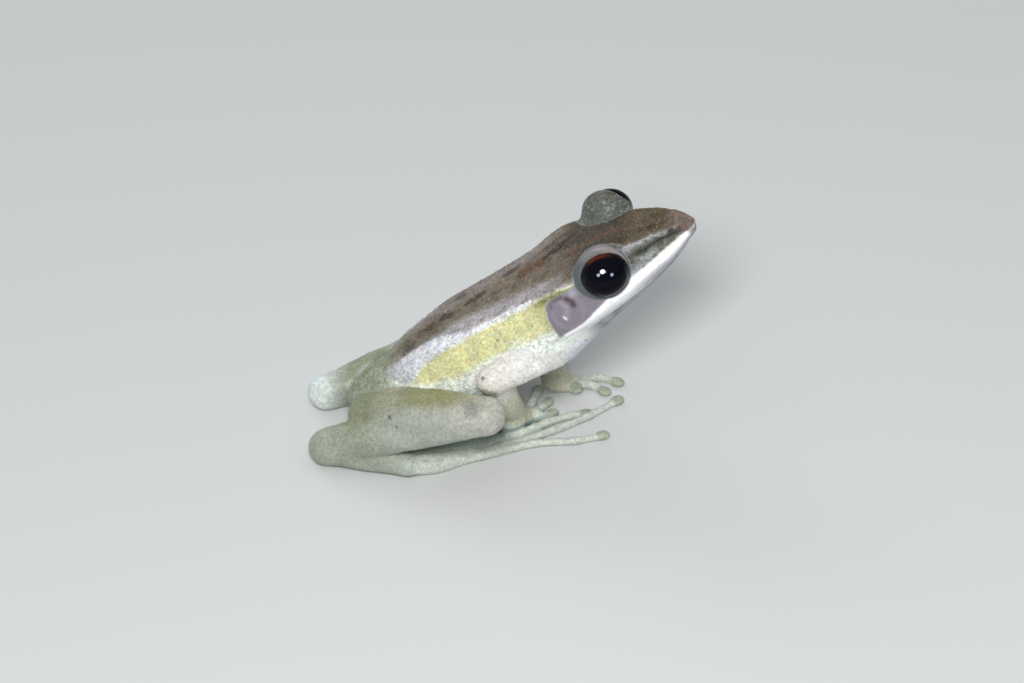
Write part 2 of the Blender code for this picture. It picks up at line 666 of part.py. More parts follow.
def material(name):
    """A plain shader of one of the model's colours."""
    made = bpy.data.materials.get(name)
    if made:
        return made
    made = bpy.data.materials.new(name)
    made.use_nodes = True
    shader = made.node_tree.nodes["Principled BSDF"]
    shader.inputs["Base Color"].default_value = (*COLOURS[name], 1)
    shader.inputs["Roughness"].default_value = 0.08 if name == "eye" else 0.35
    shader.inputs["Metallic"].default_value = 0.0
    return made


def finish_part(obj, colour, collection):
    """Give a part its material, smooth shading and real size, and file it in its collection."""
    work = bmesh.new()
    work.from_mesh(obj.data)
    bmesh.ops.triangulate(work, faces=work.faces)
    bmesh.ops.recalc_face_normals(work, faces=work.faces)
    work.to_mesh(obj.data)
    work.free()
    obj.data.materials.clear()
    obj.data.materials.append(material(colour))
    obj.data.shade_smooth()
    obj.data.set_sharp_from_angle(angle=math.radians(40))
    for home in list(obj.users_collection):
        home.objects.unlink(obj)
    collection.objects.link(obj)


def settle(parts):
    """Bring the parts to metres, with the origin under the middle of their common box."""
    corners = np.array([vert.co for obj in parts for vert in obj.data.vertices])
    low, high = corners.min(axis=0), corners.max(axis=0)
    middle = Vector(((low[0] + high[0]) / 2, (low[1] + high[1]) / 2, 0.0))
    matrix = Matrix.Scale(MM, 4) @ Matrix.Translation(-middle)
    for obj in parts:
        obj.data.transform(matrix)
        obj.data.update()


def build_frog():
    for obj in list(bpy.data.objects):
        remove(obj)
    collection = bpy.data.collections.new("white_lipped_frog")
    bpy.context.scene.collection.children.link(collection)
    body_cutter = body_solid("body_cutter", GAP)
    head, jaw, torso = make_head_and_torso()
    coloured = [(head, "skin_back"), (jaw, "skin_jaw"), (torso, "skin_back")]
    for side in (RIGHT, LEFT):
        coloured.append((eye_shape("eye_" + SIDE_NAMES[side], side, 0.0), "eye"))
        coloured.append((make_drum(side), "drum"))
        upper, forearm = make_arm(side, body_cutter)
        thigh, shank, tarsus = make_leg(side, body_cutter)
        foot = make_foot(side, tarsus)
        hand = make_hand(side, forearm)
        coloured += [(upper, "skin_leg"), (forearm, "skin_leg"), (hand, "skin_foot"), (thigh, "skin_leg"),
                     (shank, "skin_leg"), (tarsus, "skin_leg"), (foot, "skin_foot")]
    remove(body_cutter)
    for obj, colour in coloured:
        finish_part(obj, colour, collection)
    settle([obj for obj, _ in coloured])


build_frog()
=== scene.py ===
"""A white-lipped frog at life size: one moist skin over the solid model, its eyes, light and camera.

Lengths are in millimetres until the meshes are written. The frog looks along X, its left is +Y and
the floor is Z = 0. The trunk and head have their own frame: s from the vent to the snout, y to the
left, z to the back.
"""
import copy
import math

import bmesh
import bpy
import numpy as np
import openvdb
from mathutils import Matrix, Vector


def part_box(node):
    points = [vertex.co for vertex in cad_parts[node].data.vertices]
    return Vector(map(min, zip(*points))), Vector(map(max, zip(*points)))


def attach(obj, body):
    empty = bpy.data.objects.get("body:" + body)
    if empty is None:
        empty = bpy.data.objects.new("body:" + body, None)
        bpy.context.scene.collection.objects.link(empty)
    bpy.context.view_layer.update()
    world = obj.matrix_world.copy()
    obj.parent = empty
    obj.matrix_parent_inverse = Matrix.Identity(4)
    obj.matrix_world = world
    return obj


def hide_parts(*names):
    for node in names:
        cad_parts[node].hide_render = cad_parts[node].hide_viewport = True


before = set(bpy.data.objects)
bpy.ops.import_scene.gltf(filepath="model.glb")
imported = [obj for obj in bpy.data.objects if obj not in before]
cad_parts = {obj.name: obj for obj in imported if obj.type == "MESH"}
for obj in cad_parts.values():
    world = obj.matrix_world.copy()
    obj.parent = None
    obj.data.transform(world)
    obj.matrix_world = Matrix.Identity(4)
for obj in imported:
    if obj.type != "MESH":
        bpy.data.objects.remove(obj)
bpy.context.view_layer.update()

MM = 0.001
RIGHT, LEFT = -1, 1
SIDE_NAMES = {RIGHT: "right", LEFT: "left"}

# Trunk and head, as in the solid model
VENT = (4.6, 0.0, 5.0)
BODY_PITCH = math.radians(27.5)
BODY_LENGTH = 42.8
VENT_ROUNDING = 4.0
SNOUT_ROUNDING = 3.4
VENT_HEIGHT = -0.6
SNOUT_HEIGHT = 0.25
SECTION_STEPS = 12
BACK_LINE = ((0, 0, 0.8), (3, 0, 1.4), (6, 0, 2.15), (10, 0, 2.9), (14, 0, 3.3), (20, 0, 3.6),
             (26, 0, 3.9), (31, 0, 4.15), (35, 0, 3.95), (38, 0, 3.3), (40.5, 0, 2.5), (43.2, 0, 1.2))
FOLD_LINE = ((0, 1.2, 0.2), (3, 2.1, 0.6), (6, 2.8, 1.35), (10, 3.25, 2.3), (14, 3.5, 2.85),
             (20, 3.7, 3.1), (25, 4.1, 3.35), (28, 4.6, 3.75), (31, 4.6, 3.9), (35, 3.4, 3.55),
             (38, 2.55, 2.9), (40.5, 1.9, 2.1), (43.2, 1.1, 1.1))
SIDE_LINE = ((0, 1.9, -0.6), (4, 3.5, -0.6), (8, 4.7, -0.7), (12, 5.5, -0.9), (16, 5.85, -1.1),
             (20, 6.0, -1.0), (24, 6.2, 0.4), (28, 6.2, 1.7), (31, 5.75, 1.8), (34, 4.95, 1.7),
             (37, 3.75, 1.6), (40, 2.55, 1.2), (43.2, 1.4, 0.7))
LIP_LINE = ((0, 1.7, -1.7), (4, 2.9, -2.1), (8, 4.2, -2.6), (12, 5.1, -3.0), (16, 5.6, -3.2),
            (20, 5.9, -2.8), (24.6, 6.5, -1.1), (28, 6.75, -0.6), (31, 6.4, -0.25), (34, 5.7, -0.05),
            (37, 4.6, -0.05), (40, 3.15, -0.05), (43.2, 1.7, 0.0))
JAW_LINE = ((0, 1.0, -2.2), (4, 1.9, -3.1), (8, 2.9, -4.2), (12, 3.7, -4.9), (16, 4.1, -5.3),
            (20, 4.2, -5.5), (24, 4.3, -5.4), (28, 4.6, -4.0), (31.4, 4.5, -3.0), (35.5, 3.7, -2.35),
            (39.4, 2.4, -1.55), (43.2, 1.2, -0.7))
BELLY_LINE = ((0, 0, -2.4), (4, 0, -3.6), (8, 0, -4.9), (12, 0, -5.7), (16, 0, -6.2),
              (20, 0, -6.6), (23.5, 0, -6.7), (26, 0, -5.9), (28.5, 0, -4.8), (31.4, 0, -3.7),
              (35.5, 0, -2.8), (39.4, 0, -1.9), (43.2, 0, -1.0))
MOUTH_BELOW_LIP = ((16, 0.5), (25, 0.6), (29, 0.9), (33, 1.1), (37, 0.95), (40, 0.65), (43.2, 0.4))
MOUTH_CORNER = 25.6

# Eye, lids, nostril, ear drum, and the gland behind the corner of the mouth, in the body frame
EYE_CENTRES = {RIGHT: (33.25, -5.05, 2.8), LEFT: (34.1, 5.05, 2.85)}
EYE_RADII = (2.6, 2.45, 2.4)
LID_ROLL = {RIGHT: 0.48, LEFT: 0.05}
LID_THICKNESS = {RIGHT: 0.12, LEFT: 0.24}
LID_EDGE = {RIGHT: (0.02, 0.2), LEFT: (0.08, 0.95)}
LID_REAR = {RIGHT: 0.15, LEFT: 0.55}
LID_FRONT = {RIGHT: 0.24, LEFT: 0.0}
LID_TOP_EDGE = {RIGHT: -0.75, LEFT: 0.15}
EYE_FACING = (0.3, 0.85, 0.43)
LID_FACING = (0.2, 1.0, 0.14)
NOSTRIL = (40.9, 1.8, 1.8)
DRUM_CENTRE = (27.75, 6.33, 1.4)
DRUM_FACING = (-0.05, 1.0, 0.36)
DRUM_RADIUS = 1.75
GLAND_CENTRE = (24.75, 6.3, -0.45)
GLAND_RADII = (1.0, 0.7, 0.5)
NOSTRIL_RADII, NOSTRIL_SHADE = (1.35, 1 / 0.6, 1.0), (1.4, 2.0, 1.0)
LID_REACH, EYE_GAP = 5.0, 0.1

# Heights and depths of the skin's relief
RELIEF = {
    "fold": 0.34, "groove": 0.10, "canthus": 0.14, "snout_hollow": 0.28, "snout_tip": 0.3, "snout_top": 0.24,
    "lip": 0.2, "mouth": 0.22, "under_mouth": 0.10, "drum_ring": 0.04, "drum": 0.07, "drum_middle": 0.03,
    "nostril_ring": 0.04, "nostril": 0.3, "gland": 0.32, "coarse": 0.035, "fine": 0.02,
}

# Limb joints on each side and the thickness of the limbs at them
LIMBS = {
    RIGHT: {
        "hip": (6.8, -2.9, 4.4), "thigh": (13.3, -7.7, 7.8), "knee": (19.1, -10.2, 9.1),
        "heel": (1.5, -4.4, 1.8), "instep": (10.0, -7.6, 1.3),
        "shoulder": (26.0, -4.8, 13.0), "elbow": (20.0, -7.1, 11.35), "wrist": (21.9, -0.75, 1.25),
    },
    LEFT: {
        "hip": (7.4, 3.0, 3.8), "thigh": (13.6, 7.3, 5.2), "knee": (20.2, 10.5, 5.6),
        "heel": (1.4, 5.1, 1.75), "instep": (10.3, 7.7, 1.2),
        "shoulder": (26.0, 4.8, 13.0), "elbow": (21.6, 7.9, 10.6), "wrist": (26.2, 5.1, 1.25),
    },
}
THIGH_RADII, SHANK_RADII, TARSUS_RADII = (2.4, 2.75, 1.9), (1.9, 2.15, 1.9, 1.75), (1.75, 1.6, 1.25)
UPPER_ARM_RADII, FOREARM_RADII = (2.0, 1.9, 1.55), (1.55, 1.65, 1.35, 1.15)

# Fillets of the limbs on the trunk: soft and hard size, and the distances where soft ends and hard starts
HIP_FILLET, SHOULDER_FILLET = (2.6, 0.2, 3.6, 8.5), (1.5, 0.35, 2.5, 6.5)

# Feet and hands: paths of the digits from the inner one to the outer one
SOLE_HEIGHT = 0.62
DIGIT_RADII = (0.5, 0.36)
DISC_RADII = (0.76, 0.64, 0.4)
TOES = {
    RIGHT: (
        ((11.8, -6.5), (14.6, -4.9), (17.4, -3.6)),
        ((12.6, -6.5), (16.8, -4.4), (20.1, -3.0)),
        ((13.5, -6.7), (19.5, -3.9), (25.1, -1.25), (27.6, -0.3), (29.2, -0.1)),
        ((13.5, -7.1), (20.0, -4.8), (25.7, -2.6), (29.4, -0.55), (32.6, 1.75)),
        ((12.5, -7.6), (18.0, -6.1), (23.6, -4.6), (27.9, -4.6), (30.9, -4.0)),
    ),
    LEFT: (
        ((11.6, 8.0), (15.2, 8.2), (18.6, 8.5)),
        ((12.5, 8.5), (17.6, 9.4), (22.0, 10.2)),
        ((13.4, 8.9), (20.0, 11.2), (25.4, 12.6), (28.0, 13.2)),
        ((13.2, 9.3), (20.2, 13.2), (25.8, 16.3), (30.9, 18.7)),
        ((12.2, 9.2), (17.4, 13.3), (21.8, 17.3), (26.2, 20.2)),
    ),
}
WEB_REACH = {RIGHT: (0.75, 0.75, 0.8, 0.72), LEFT: (0.75, 0.8, 0.8, 0.76)}
FINGERS = {
    RIGHT: (
        ((22.7, 0.4), (22.3, 1.7), (22.0, 2.9)),
        ((23.0, 0.3), (23.5, 2.4), (24.05, 4.5)),
        ((23.4, 0.2), (24.3, 1.2), (25.15, 2.3)),
        ((23.5, -0.1), (24.5, -0.25), (25.6, 0.35)),
    ),
    LEFT: (
        ((27.2, 5.2), (27.7, 4.6), (28.2, 4.2)),
        ((27.9, 5.2), (29.9, 4.6), (31.3, 3.5)),
        ((28.0, 5.6), (30.8, 5.9), (32.7, 4.9)),
        ((27.2, 5.9), (26.8, 7.9), (26.5, 9.8)),
    ),
}
PALMS = {RIGHT: (22.9, 0.05), LEFT: (27.2, 5.3)}

# The fleshy inner edge of the foot, and the heel of the hand
FOOT_EDGE = {RIGHT: ((9.5, -6.3, 1.15), (13.0, -5.3, 1.15), (16.5, -4.6, 1.05), (20.2, -3.5, 0.7)),
             LEFT: ((9.8, 7.0, 1.0), (12.6, 7.3, 0.8), (15.2, 7.7, 0.6), (17.0, 8.4, 0.5))}
FOOT_EDGE_RADII = (0.95, 0.85, 0.65, 0.42)
HAND_HEEL = {RIGHT: ((21.0, -1.8, 1.15), (1.5, 1.3, 1.15)), LEFT: ((25.9, 5.1, 1.1), (1.2, 1.1, 1.0))}

# Colours of the skin, from the lowest layer to the topmost, with the mask that each one shows through
VENTRAL = (0.70, 0.69, 0.77)
LAYERS = (
    ("flank_low", (0.86, 0.90, 0.82)), ("back", (0.165, 0.132, 0.088)), ("mauve", (0.39, 0.36, 0.375)),
    ("rump", (0.25, 0.275, 0.18)), ("neck", (0.15, 0.115, 0.08)), ("crown", (0.042, 0.030, 0.010)),
    ("snout", (0.105, 0.078, 0.036)), ("yellow", (0.68, 0.655, 0.34)), ("tongue", (0.22, 0.21, 0.07)),
    ("band", (0.70, 0.70, 0.72)),
    ("jaw", (0.165, 0.162, 0.175)), ("jaw_light", (0.47, 0.50, 0.56)), ("cheek", (0.228, 0.205, 0.238)),
    ("drum_ring", (0.33, 0.29, 0.33)), ("drum_light", (0.35, 0.30, 0.34)), ("drum_dark", (0.06, 0.03, 0.036)),
    ("loreal", (0.125, 0.13, 0.10)), ("loreal_light", (0.30, 0.32, 0.315)),
    ("cheek_pale_and_highlight", (0.38, 0.39, 0.44)), ("snout_end", (0.22, 0.165, 0.135)),
    ("canthus", (0.30, 0.28, 0.29)), ("canthus_groove_shade", (0.035, 0.033, 0.025)), ("nostril", (0.015, 0.012, 0.01)),
    ("marks", (0.03, 0.018, 0.008)), ("rust", (0.12, 0.052, 0.02)), ("brow_shade", (0.04, 0.03, 0.015)),
    ("lid_top", (0.112, 0.122, 0.10)), ("lid_rim", (0.095, 0.11, 0.12)), ("lid_pale", (0.28, 0.25, 0.24)),
    ("lip", (0.97, 0.97, 0.97)), ("lip_cream", (0.90, 0.82, 0.66)), ("lip_under_shade", (0.52, 0.52, 0.57)),
    ("mouth", (0.20, 0.19, 0.19)), ("white", (0.95, 0.95, 0.94)),
    ("arm", (0.77, 0.75, 0.71)), ("elbow", (0.50, 0.44, 0.36)), ("forearm", (0.58, 0.57, 0.42)),
    ("leg", (0.40, 0.42, 0.36)), ("far_leg_painted_light", (0.68, 0.75, 0.73)), ("thigh", (0.24, 0.24, 0.112)),
    ("knee", (0.54, 0.52, 0.48)), ("foot", (0.54, 0.575, 0.51)), ("hand", (0.60, 0.65, 0.57)),
    ("web", (0.34, 0.42, 0.38)), ("disc", (0.29, 0.33, 0.22)), ("shade", (0.12, 0.09, 0.035)),
    ("blotch", (0.15, 0.15, 0.15)), ("specks", (0.03, 0.028, 0.025)),
)

# Dark marks on the back as lines of (s, y), with half width, strength and whether the mark is rusty
MARKS = (
    (((26.3, 0.9), (27.6, 1.3), (29.3, 1.75), (30.4, 2.2)), 0.4, 1.0, False),
    (((29.6, 0.9), (31.7, 1.35), (33.3, 1.4), (35.4, 1.0)), 0.34, 0.95, False),
    (((26.7, 2.6), (28.4, 2.9), (30.0, 3.0)), 0.3, 0.6, False),
    (((29.2, -0.7), (30.7, -0.65), (31.8, -0.4)), 0.26, 0.6, True),
    (((32.6, -0.15), (34.9, -0.05), (37.4, -0.45)), 0.4, 0.6, True),
    (((33.6, 0.5), (36.2, 0.55)), 0.25, 0.6, False),
    (((23.7, 0.55), (24.9, 0.6), (26.0, 0.6)), 0.46, 1.0, True),
    (((24.6, 0.75), (25.4, 0.75)), 0.24, 0.8, False),
    (((21.6, 1.9), (23.4, 2.2)), 0.4, 0.7, False),
    (((16.6, 0.75), (18.1, 0.75), (18.9, 0.9)), 0.34, 0.9, False),
    (((13.5, 0.6), (14.5, 0.45)), 0.44, 0.85, False),
    (((10.4, 0.4), (11.2, 0.3), (11.9, 0.1)), 0.5, 0.8, False),
    (((8.2, -1.1), (9.1, -0.6)), 0.42, 0.6, False),
    (((20.1, -0.1), (20.9, -0.2)), 0.26, 0.5, False),
    (((38.0, -1.5), (39.3, -1.2)), 0.3, 0.6, False),
    (((38.6, 0.6), (40.0, 0.5)), 0.3, 0.5, False),
    (((15.0, 2.4), (16.2, 2.5)), 0.32, 0.6, False),
)
# Small dark specks, as world places and sizes
SPECKS = (
    (19.3, -3.2, 16.55, 0.2), (24.7, -5.6, 17.0, 0.15), (15.3, -5.0, 11.1, 0.13), (20.85, -4.9, 14.9, 0.12),
    (30.2, -5.5, 14.5, 0.18), (19.1, -8.0, 12.4, 0.24), (8.8, -7.5, 7.7, 0.3), (9.6, -8.5, 7.1, 0.26),
    (5.1, -6.5, 5.25, 0.18), (5.8, -7.4, 2.4, 0.32), (12.05, 0.45, 12.1, 0.14),
)
BLOTCH = ((17.6, -10.9, 10.7), 1.3)

# Edges of the brown back and of the yellow patch, off the fold: a start and changes along s
BACK_EDGE = (-0.55, (0.3, 12.5, 17.0), (0.8, 22.5, 26.0), (-0.4, 30, 31.5), (-1.0, 17, 11))
YELLOW_TOP = (0.55, (0.6, 12, 8), (0.2, 26.5, 29.5))

# Lines of (s, z) on the ear drum: dark arcs with width and strength, a light stroke and a painted white glint
DRUM_ARCS = ((((26.3, 2.5), (26.8, 2.9), (27.9, 3.0)), 0.24, 0.6),
             (((28.4, 2.6), (28.75, 2.2), (28.7, 1.7)), 0.3, 0.8))
DRUM_LIGHT = ((27.6, 2.6), (27.95, 1.9), (27.4, 0.9))
DRUM_GLINT = ((27.15, 1.1), (27.26, 0.86))
UNDER_LIDS = ("yellow", "tongue", "crown", "back", "canthus", "loreal", "loreal_light", "lip", "lip_cream",
              "lip_under_shade", "cheek_pale_and_highlight", "snout")

# The voxels that the skin is shaped in
VOXEL = 0.13
BAND_VOXELS = 8
FAR = BAND_VOXELS * VOXEL
GRID_LOW = (-2.6, -14.6, -1.0)
GRID_HIGH = (44.6, 22.4, 27.6)
TRANSFORM = openvdb.createLinearTransform(VOXEL)
HARD = 0.01
RELIEF_REACH = 0.75
GRAIN_COUNT, GRAIN_SIZES = 6000, (0.055, 0.125)


# Curves and frames

def smooth_curve(points):
    """A smooth function of s through (s, value) points, with even slopes between neighbours."""
    s_values = np.array([p[0] for p in points], float)
    values = np.array([p[1] for p in points], float)
    slopes = np.gradient(values, s_values)

    def at(s):
        s = np.clip(s, s_values[0], s_values[-1])
        i = np.clip(np.searchsorted(s_values, s) - 1, 0, len(s_values) - 2)
        span = s_values[i + 1] - s_values[i]
        t = (s - s_values[i]) / span
        return (values[i] * (1 + 2 * t) * (1 - t) ** 2 + values[i + 1] * t * t * (3 - 2 * t)
                + span * (slopes[i] * t * (1 - t) ** 2 - slopes[i + 1] * t * t * (1 - t)))
    return at


def long_line(points):
    return smooth_curve([(s, y) for s, y, z in points]), smooth_curve([(s, z) for s, y, z in points])


BACK, FOLD, SIDE, LIP, JAW, BELLY = [long_line(points) for points in
                                     (BACK_LINE, FOLD_LINE, SIDE_LINE, LIP_LINE, JAW_LINE, BELLY_LINE)]
MOUTH_DROP = smooth_curve(MOUTH_BELOW_LIP)
YELLOW_FOOT = smooth_curve(((5, 1.6), (8, 0.7), (10, -0.1), (14, -0.3), (18, -0.2), (21, 0.1), (25.5, 0.2),
                            (32, 2.0)))
LIP_TOP = smooth_curve(((25, 0.15), (29, 0.24), (31.5, 0.6), (34, 0.86), (37, 0.8), (40, 0.7), (43.2, 0.6)))
THIGH_EDGE = smooth_curve(((7, 5.6), (10, 7.1), (11.7, 8.1), (13.3, 8.9), (16.6, 9.8), (18.1, 10.4),
                           (21, 11.2)))
DRUM_REAR = smooth_curve(((-1.2, 25.6), (0, 25.45), (1.2, 25.45), (2.2, 25.6), (2.8, 26.1), (3.3, 27.2)))
CANTHUS_GROOVE_EDGE = smooth_curve(((35, 1.25), (37.5, 1.1), (39, 0.8), (41, 0.6), (43.2, 0.5)))


def spline_point(p0, p1, p2, p3, t):
    """A point at t on the Catmull-Rom stretch from p1 to p2."""
    return 0.5 * (2 * p1 + (p2 - p0) * t + (2 * p0 - 5 * p1 + 4 * p2 - p3) * t * t
                  + (3 * p1 - p0 - 3 * p2 + p3) * t ** 3)


def ramp(low, high, value):
    """0 at low and 1 at high with a smooth slope between them; low may be the greater one."""
    t = np.clip((value - low) / (high - low), 0, 1)
    return t * t * (3 - 2 * t)


def within(value, start, full, last, end):
    """1 from full to last, falling smoothly to 0 at start and at end."""
    return ramp(start, full, value) * ramp(end, last, value)


def stepped(value, base, *changes):
    """A number that starts at base and changes by each amount between a low and a high value."""
    return base + sum(amount * ramp(low, high, value) for amount, low, high in changes)


def bell(value, width):
    return np.exp(-(value / width) ** 2)


def length(vectors):
    return np.linalg.norm(vectors, axis=1)


COS_PITCH, SIN_PITCH = math.cos(BODY_PITCH), math.sin(BODY_PITCH)


def from_body(s, y, z):
    """World places of points of the body frame."""
    return np.stack(np.broadcast_arrays(VENT[0] + s * COS_PITCH - z * SIN_PITCH, VENT[1] + y,
                                        VENT[2] + s * SIN_PITCH + z * COS_PITCH), axis=-1)


def to_body(x, y, z):
    """Body-frame s, y and z of world places."""
    x, z = x - VENT[0], z - VENT[2]
    return x * COS_PITCH + z * SIN_PITCH, y - VENT[1], z * COS_PITCH - x * SIN_PITCH


def mirrored(place, side):
    return np.array((place[0], place[1] * side, place[2]), float)


def unit(vector):
    vector = np.asarray(vector, float)
    return vector / np.linalg.norm(vector)


def at_corners(base, part, value_at):
    """A value between the eight corners of a cell, from its values at the corners."""
    total = np.zeros(len(base))
    for corner in range(8):
        step = np.array((corner & 1, corner >> 1 & 1, corner >> 2 & 1))
        total += value_at(base + step) * np.prod(np.where(step, part, 1 - part), axis=1)
    return total


def noise(points, size, seed):
    """Smooth noise between -1 and 1 whose features have about the given size."""
    def value_at(cell):
        key = (cell * (73856093, 19349663, 83492791)).sum(axis=1) + seed * 6364136
        key = (key ^ key >> 13) * 1274126177
        return (key >> 9 & 0xFFFFF) / 0x7FFFF - 1.0

    cells = points / size + seed * 7.31
    base = np.floor(cells).astype(np.int64)
    part = cells - base
    return at_corners(base, part * part * (3 - 2 * part), value_at)


# Closed surfaces that are turned to distances

def smooth_line(points, values, step):
    """Places and values at even steps on a smooth line through a few points."""
    points = [np.asarray(p, float) for p in points]
    spans = [(points[0], values[0])] + list(zip(points, values)) + [(points[-1], values[-1])]
    places, sizes = [], []
    for k in range(1, len(spans) - 2):
        count = max(2, round(np.linalg.norm(spans[k + 1][0] - spans[k][0]) / step))
        for i in range(count):
            t = i / count
            places.append(spline_point(*(q[0] for q in spans[k - 1:k + 3]), t))
            sizes.append(spline_point(*(q[1] for q in spans[k - 1:k + 3]), t))
    places.append(points[-1])
    sizes.append(values[-1])
    return np.array(places), np.array(sizes, float)


def tube(places, sizes, sides, flatten):
    """Points, quads and triangles of a tube with round ends, flattened from above."""
    along = np.gradient(places, axis=0)
    along /= length(along)[:, None]
    turns = np.radians((15, 32, 48, 62, 76))
    head = [(places[0] - along[0] * sizes[0] * math.cos(a), along[0], sizes[0] * math.sin(a)) for a in turns]
    tail = [(places[-1] + along[-1] * sizes[-1] * math.cos(a), along[-1], sizes[-1] * math.sin(a))
            for a in turns[::-1]]
    angles = np.linspace(0, 2 * math.pi, sides, endpoint=False)
    rings = []
    for centre, heading, radius in head + list(zip(places, along, sizes)) + tail:
        across = np.cross((0, 0, 1.0), heading)
        across = unit(across) if np.linalg.norm(across) > 0.05 else np.array((0, 1.0, 0))
        upward = np.cross(heading, across)
        rings.append(centre + radius * (np.cos(angles)[:, None] * across
                                        + flatten * np.sin(angles)[:, None] * upward))
    return closed_rings(rings, [places[0] - along[0] * sizes[0], places[-1] + along[-1] * sizes[-1]])


def closed_rings(rings, poles):
    """Points and faces of a skin over rings of like point counts, closed by a pole at each end."""
    count, sides = len(rings), len(rings[0])
    points = np.vstack(rings + [np.array(poles)])
    i, j = np.meshgrid(np.arange(count - 1), np.arange(sides), indexing="ij")
    here, there = i * sides, (j + 1) % sides
    quads = np.stack((here + j, here + there, here + sides + there, here + sides + j), axis=-1).reshape(-1, 4)
    j = np.arange(sides)
    first = np.stack(((j + 1) % sides, j, np.full(sides, count * sides)), axis=1)
    base = (count - 1) * sides
    last = np.stack((base + j, base + (j + 1) % sides, np.full(sides, count * sides + 1)), axis=1)
    return points, quads, np.vstack((first, last))


def end_closing(s):
    """How far a section has closed towards its middle: 1 along the body, 0 at vent and snout."""
    if s < VENT_ROUNDING:
        return math.sqrt(max(0.0, 1 - (1 - s / VENT_ROUNDING) ** 2))
    from_tip = BODY_LENGTH - s
    if from_tip < SNOUT_ROUNDING:
        return math.sqrt(max(0.0, 1 - (1 - from_tip / SNOUT_ROUNDING) ** 2))
    return 1.0


def body_section(s):
    """The closed outline of the body at s, as (y, z) pairs from the back round to the belly."""
    knots = [np.array((y(s), z(s))) for y, z in (BACK, FOLD, SIDE, LIP, JAW, BELLY)]
    mirror = np.array((-1.0, 1.0))
    knots = [knots[1] * mirror] + knots + [knots[-2] * mirror]
    half = [spline_point(*knots[i - 1:i + 3], step / SECTION_STEPS)
            for i in range(1, len(knots) - 2) for step in range(SECTION_STEPS)]
    half = np.array(half + [knots[-2]])
    half[0, 0] = half[-1, 0] = 0.0
    ring = np.vstack((half, half[-2:0:-1] * mirror))
    middle = np.array((0.0, VENT_HEIGHT if s < BODY_LENGTH / 2 else SNOUT_HEIGHT))
    return middle + (ring - middle) * end_closing(s)


def body_surface():
    """The plain trunk and head, with close rings where they round off."""
    turns = np.radians(np.arange(8, 90, 6))
    stations = np.concatenate((VENT_ROUNDING * (1 - np.cos(turns)),
                               np.arange(VENT_ROUNDING, BODY_LENGTH - SNOUT_ROUNDING, 0.3),
                               BODY_LENGTH - SNOUT_ROUNDING * (1 - np.cos(turns[::-1]))))
    return closed_rings([from_body(s, *body_section(s).T) for s in stations],
                        [from_body(0.0, 0, VENT_HEIGHT), from_body(BODY_LENGTH, 0, SNOUT_HEIGHT)])


def web_plate(inner, outer, reach):
    """The skin between two toes: a thin, faintly pleated plate with a hollow edge."""
    rows, columns = 36, 14
    row, column = np.meshgrid(np.arange(rows + 1), np.arange(columns + 1), indexing="ij")
    across, down = column / columns, row / rows
    along = reach * down * (1 - 0.22 * 4 * across * (1 - across) * down)
    edges = []
    for path in (inner, outer):
        line, _ = smooth_line([(x, y, 0) for x, y in path], [1.0] * len(path), 0.5)
        at = along * (len(line) - 1)
        edges.append(np.stack([np.interp(at, np.arange(len(line)), line[:, i]) for i in (0, 1)], axis=-1))
    flat = edges[0] * (1 - across[..., None]) + edges[1] * across[..., None]
    middle = 0.36 + 0.07 * np.cos(across * math.pi * 6) * ramp(0.1, 0.5, down)
    half = 0.2 - 0.06 * down
    faces = [np.concatenate((flat, height[..., None]), axis=-1).reshape(-1, 3)
             for height in (middle - half, middle + half)]
    width = columns + 1
    corner = (row * width + column)[:-1, :-1]
    sheet = np.stack((corner, corner + 1, corner + width + 1, corner + width), axis=-1).reshape(-1, 4)
    border = np.array([*range(columns), *(i * width + columns for i in range(rows)),
                       *(rows * width + j for j in range(columns, 0, -1)),
                       *(i * width for i in range(rows, 0, -1))])
    after, count = np.roll(border, -1), len(faces[0])
    walls = np.stack((border, after, after + count, border + count), axis=1)
    return np.vstack(faces), np.vstack((sheet[:, ::-1], sheet + count, walls)), np.zeros((0, 3))


# Boxes of voxels that hold the distance to a surface, in millimetres, below 0 inside it

def smooth_min(a, b, k):
    h = np.clip(0.5 + 0.5 * (b - a) / k, 0, 1)
    return b + (a - b) * h - k * h * (1 - h)


def smooth_max(a, b, k):
    return -smooth_min(-a, -b, k)


def voxel_places(first, last):
    """The world x, y and z of the voxels from one index up to another."""
    lines = [(np.arange(a, b) * VOXEL).astype(np.float32) for a, b in zip(first, last)]
    return np.meshgrid(*lines, indexing="ij", sparse=True)


class Volume:
    def __init__(self, low, high):
        self.start = np.floor(np.array(low) / VOXEL).astype(int)
        shape = np.ceil(np.array(high) / VOXEL).astype(int) - self.start + 1
        self.values = np.full(shape, FAR, np.float32)

    def window(self, low, high):
        """The slices of a smaller box, and the world x, y and z of its voxels."""
        first = np.clip(np.floor(np.array(low) / VOXEL).astype(int) - self.start, 0, self.values.shape)
        last = np.clip(np.ceil(np.array(high) / VOXEL).astype(int) - self.start + 1, 0, self.values.shape)
        return tuple(map(slice, first, last)), voxel_places(self.start + first, self.start + last)

    def join(self, other, softness):
        """Add another volume, with a fillet whose size may depend on the place."""
        first = np.maximum(other.start, self.start)
        last = np.minimum(other.start + other.values.shape, self.start + self.values.shape)
        mine, theirs = (tuple(map(slice, first - box.start, last - box.start)) for box in (self, other))
        if callable(softness):
            softness = softness(*voxel_places(first, last))
        self.values[mine] = smooth_min(self.values[mine], other.values[theirs], softness)

    def at(self, points):
        """The distance at places in the world, between the voxels."""
        cells = points / VOXEL - self.start
        inside = np.all((cells >= 0) & (cells < np.array(self.values.shape) - 1.001), axis=1)
        result = np.full(len(points), FAR, np.float32)
        base = np.floor(cells[inside]).astype(int)
        result[inside] = at_corners(base, cells[inside] - base, lambda cell: self.values[tuple(cell.T)])
        return result


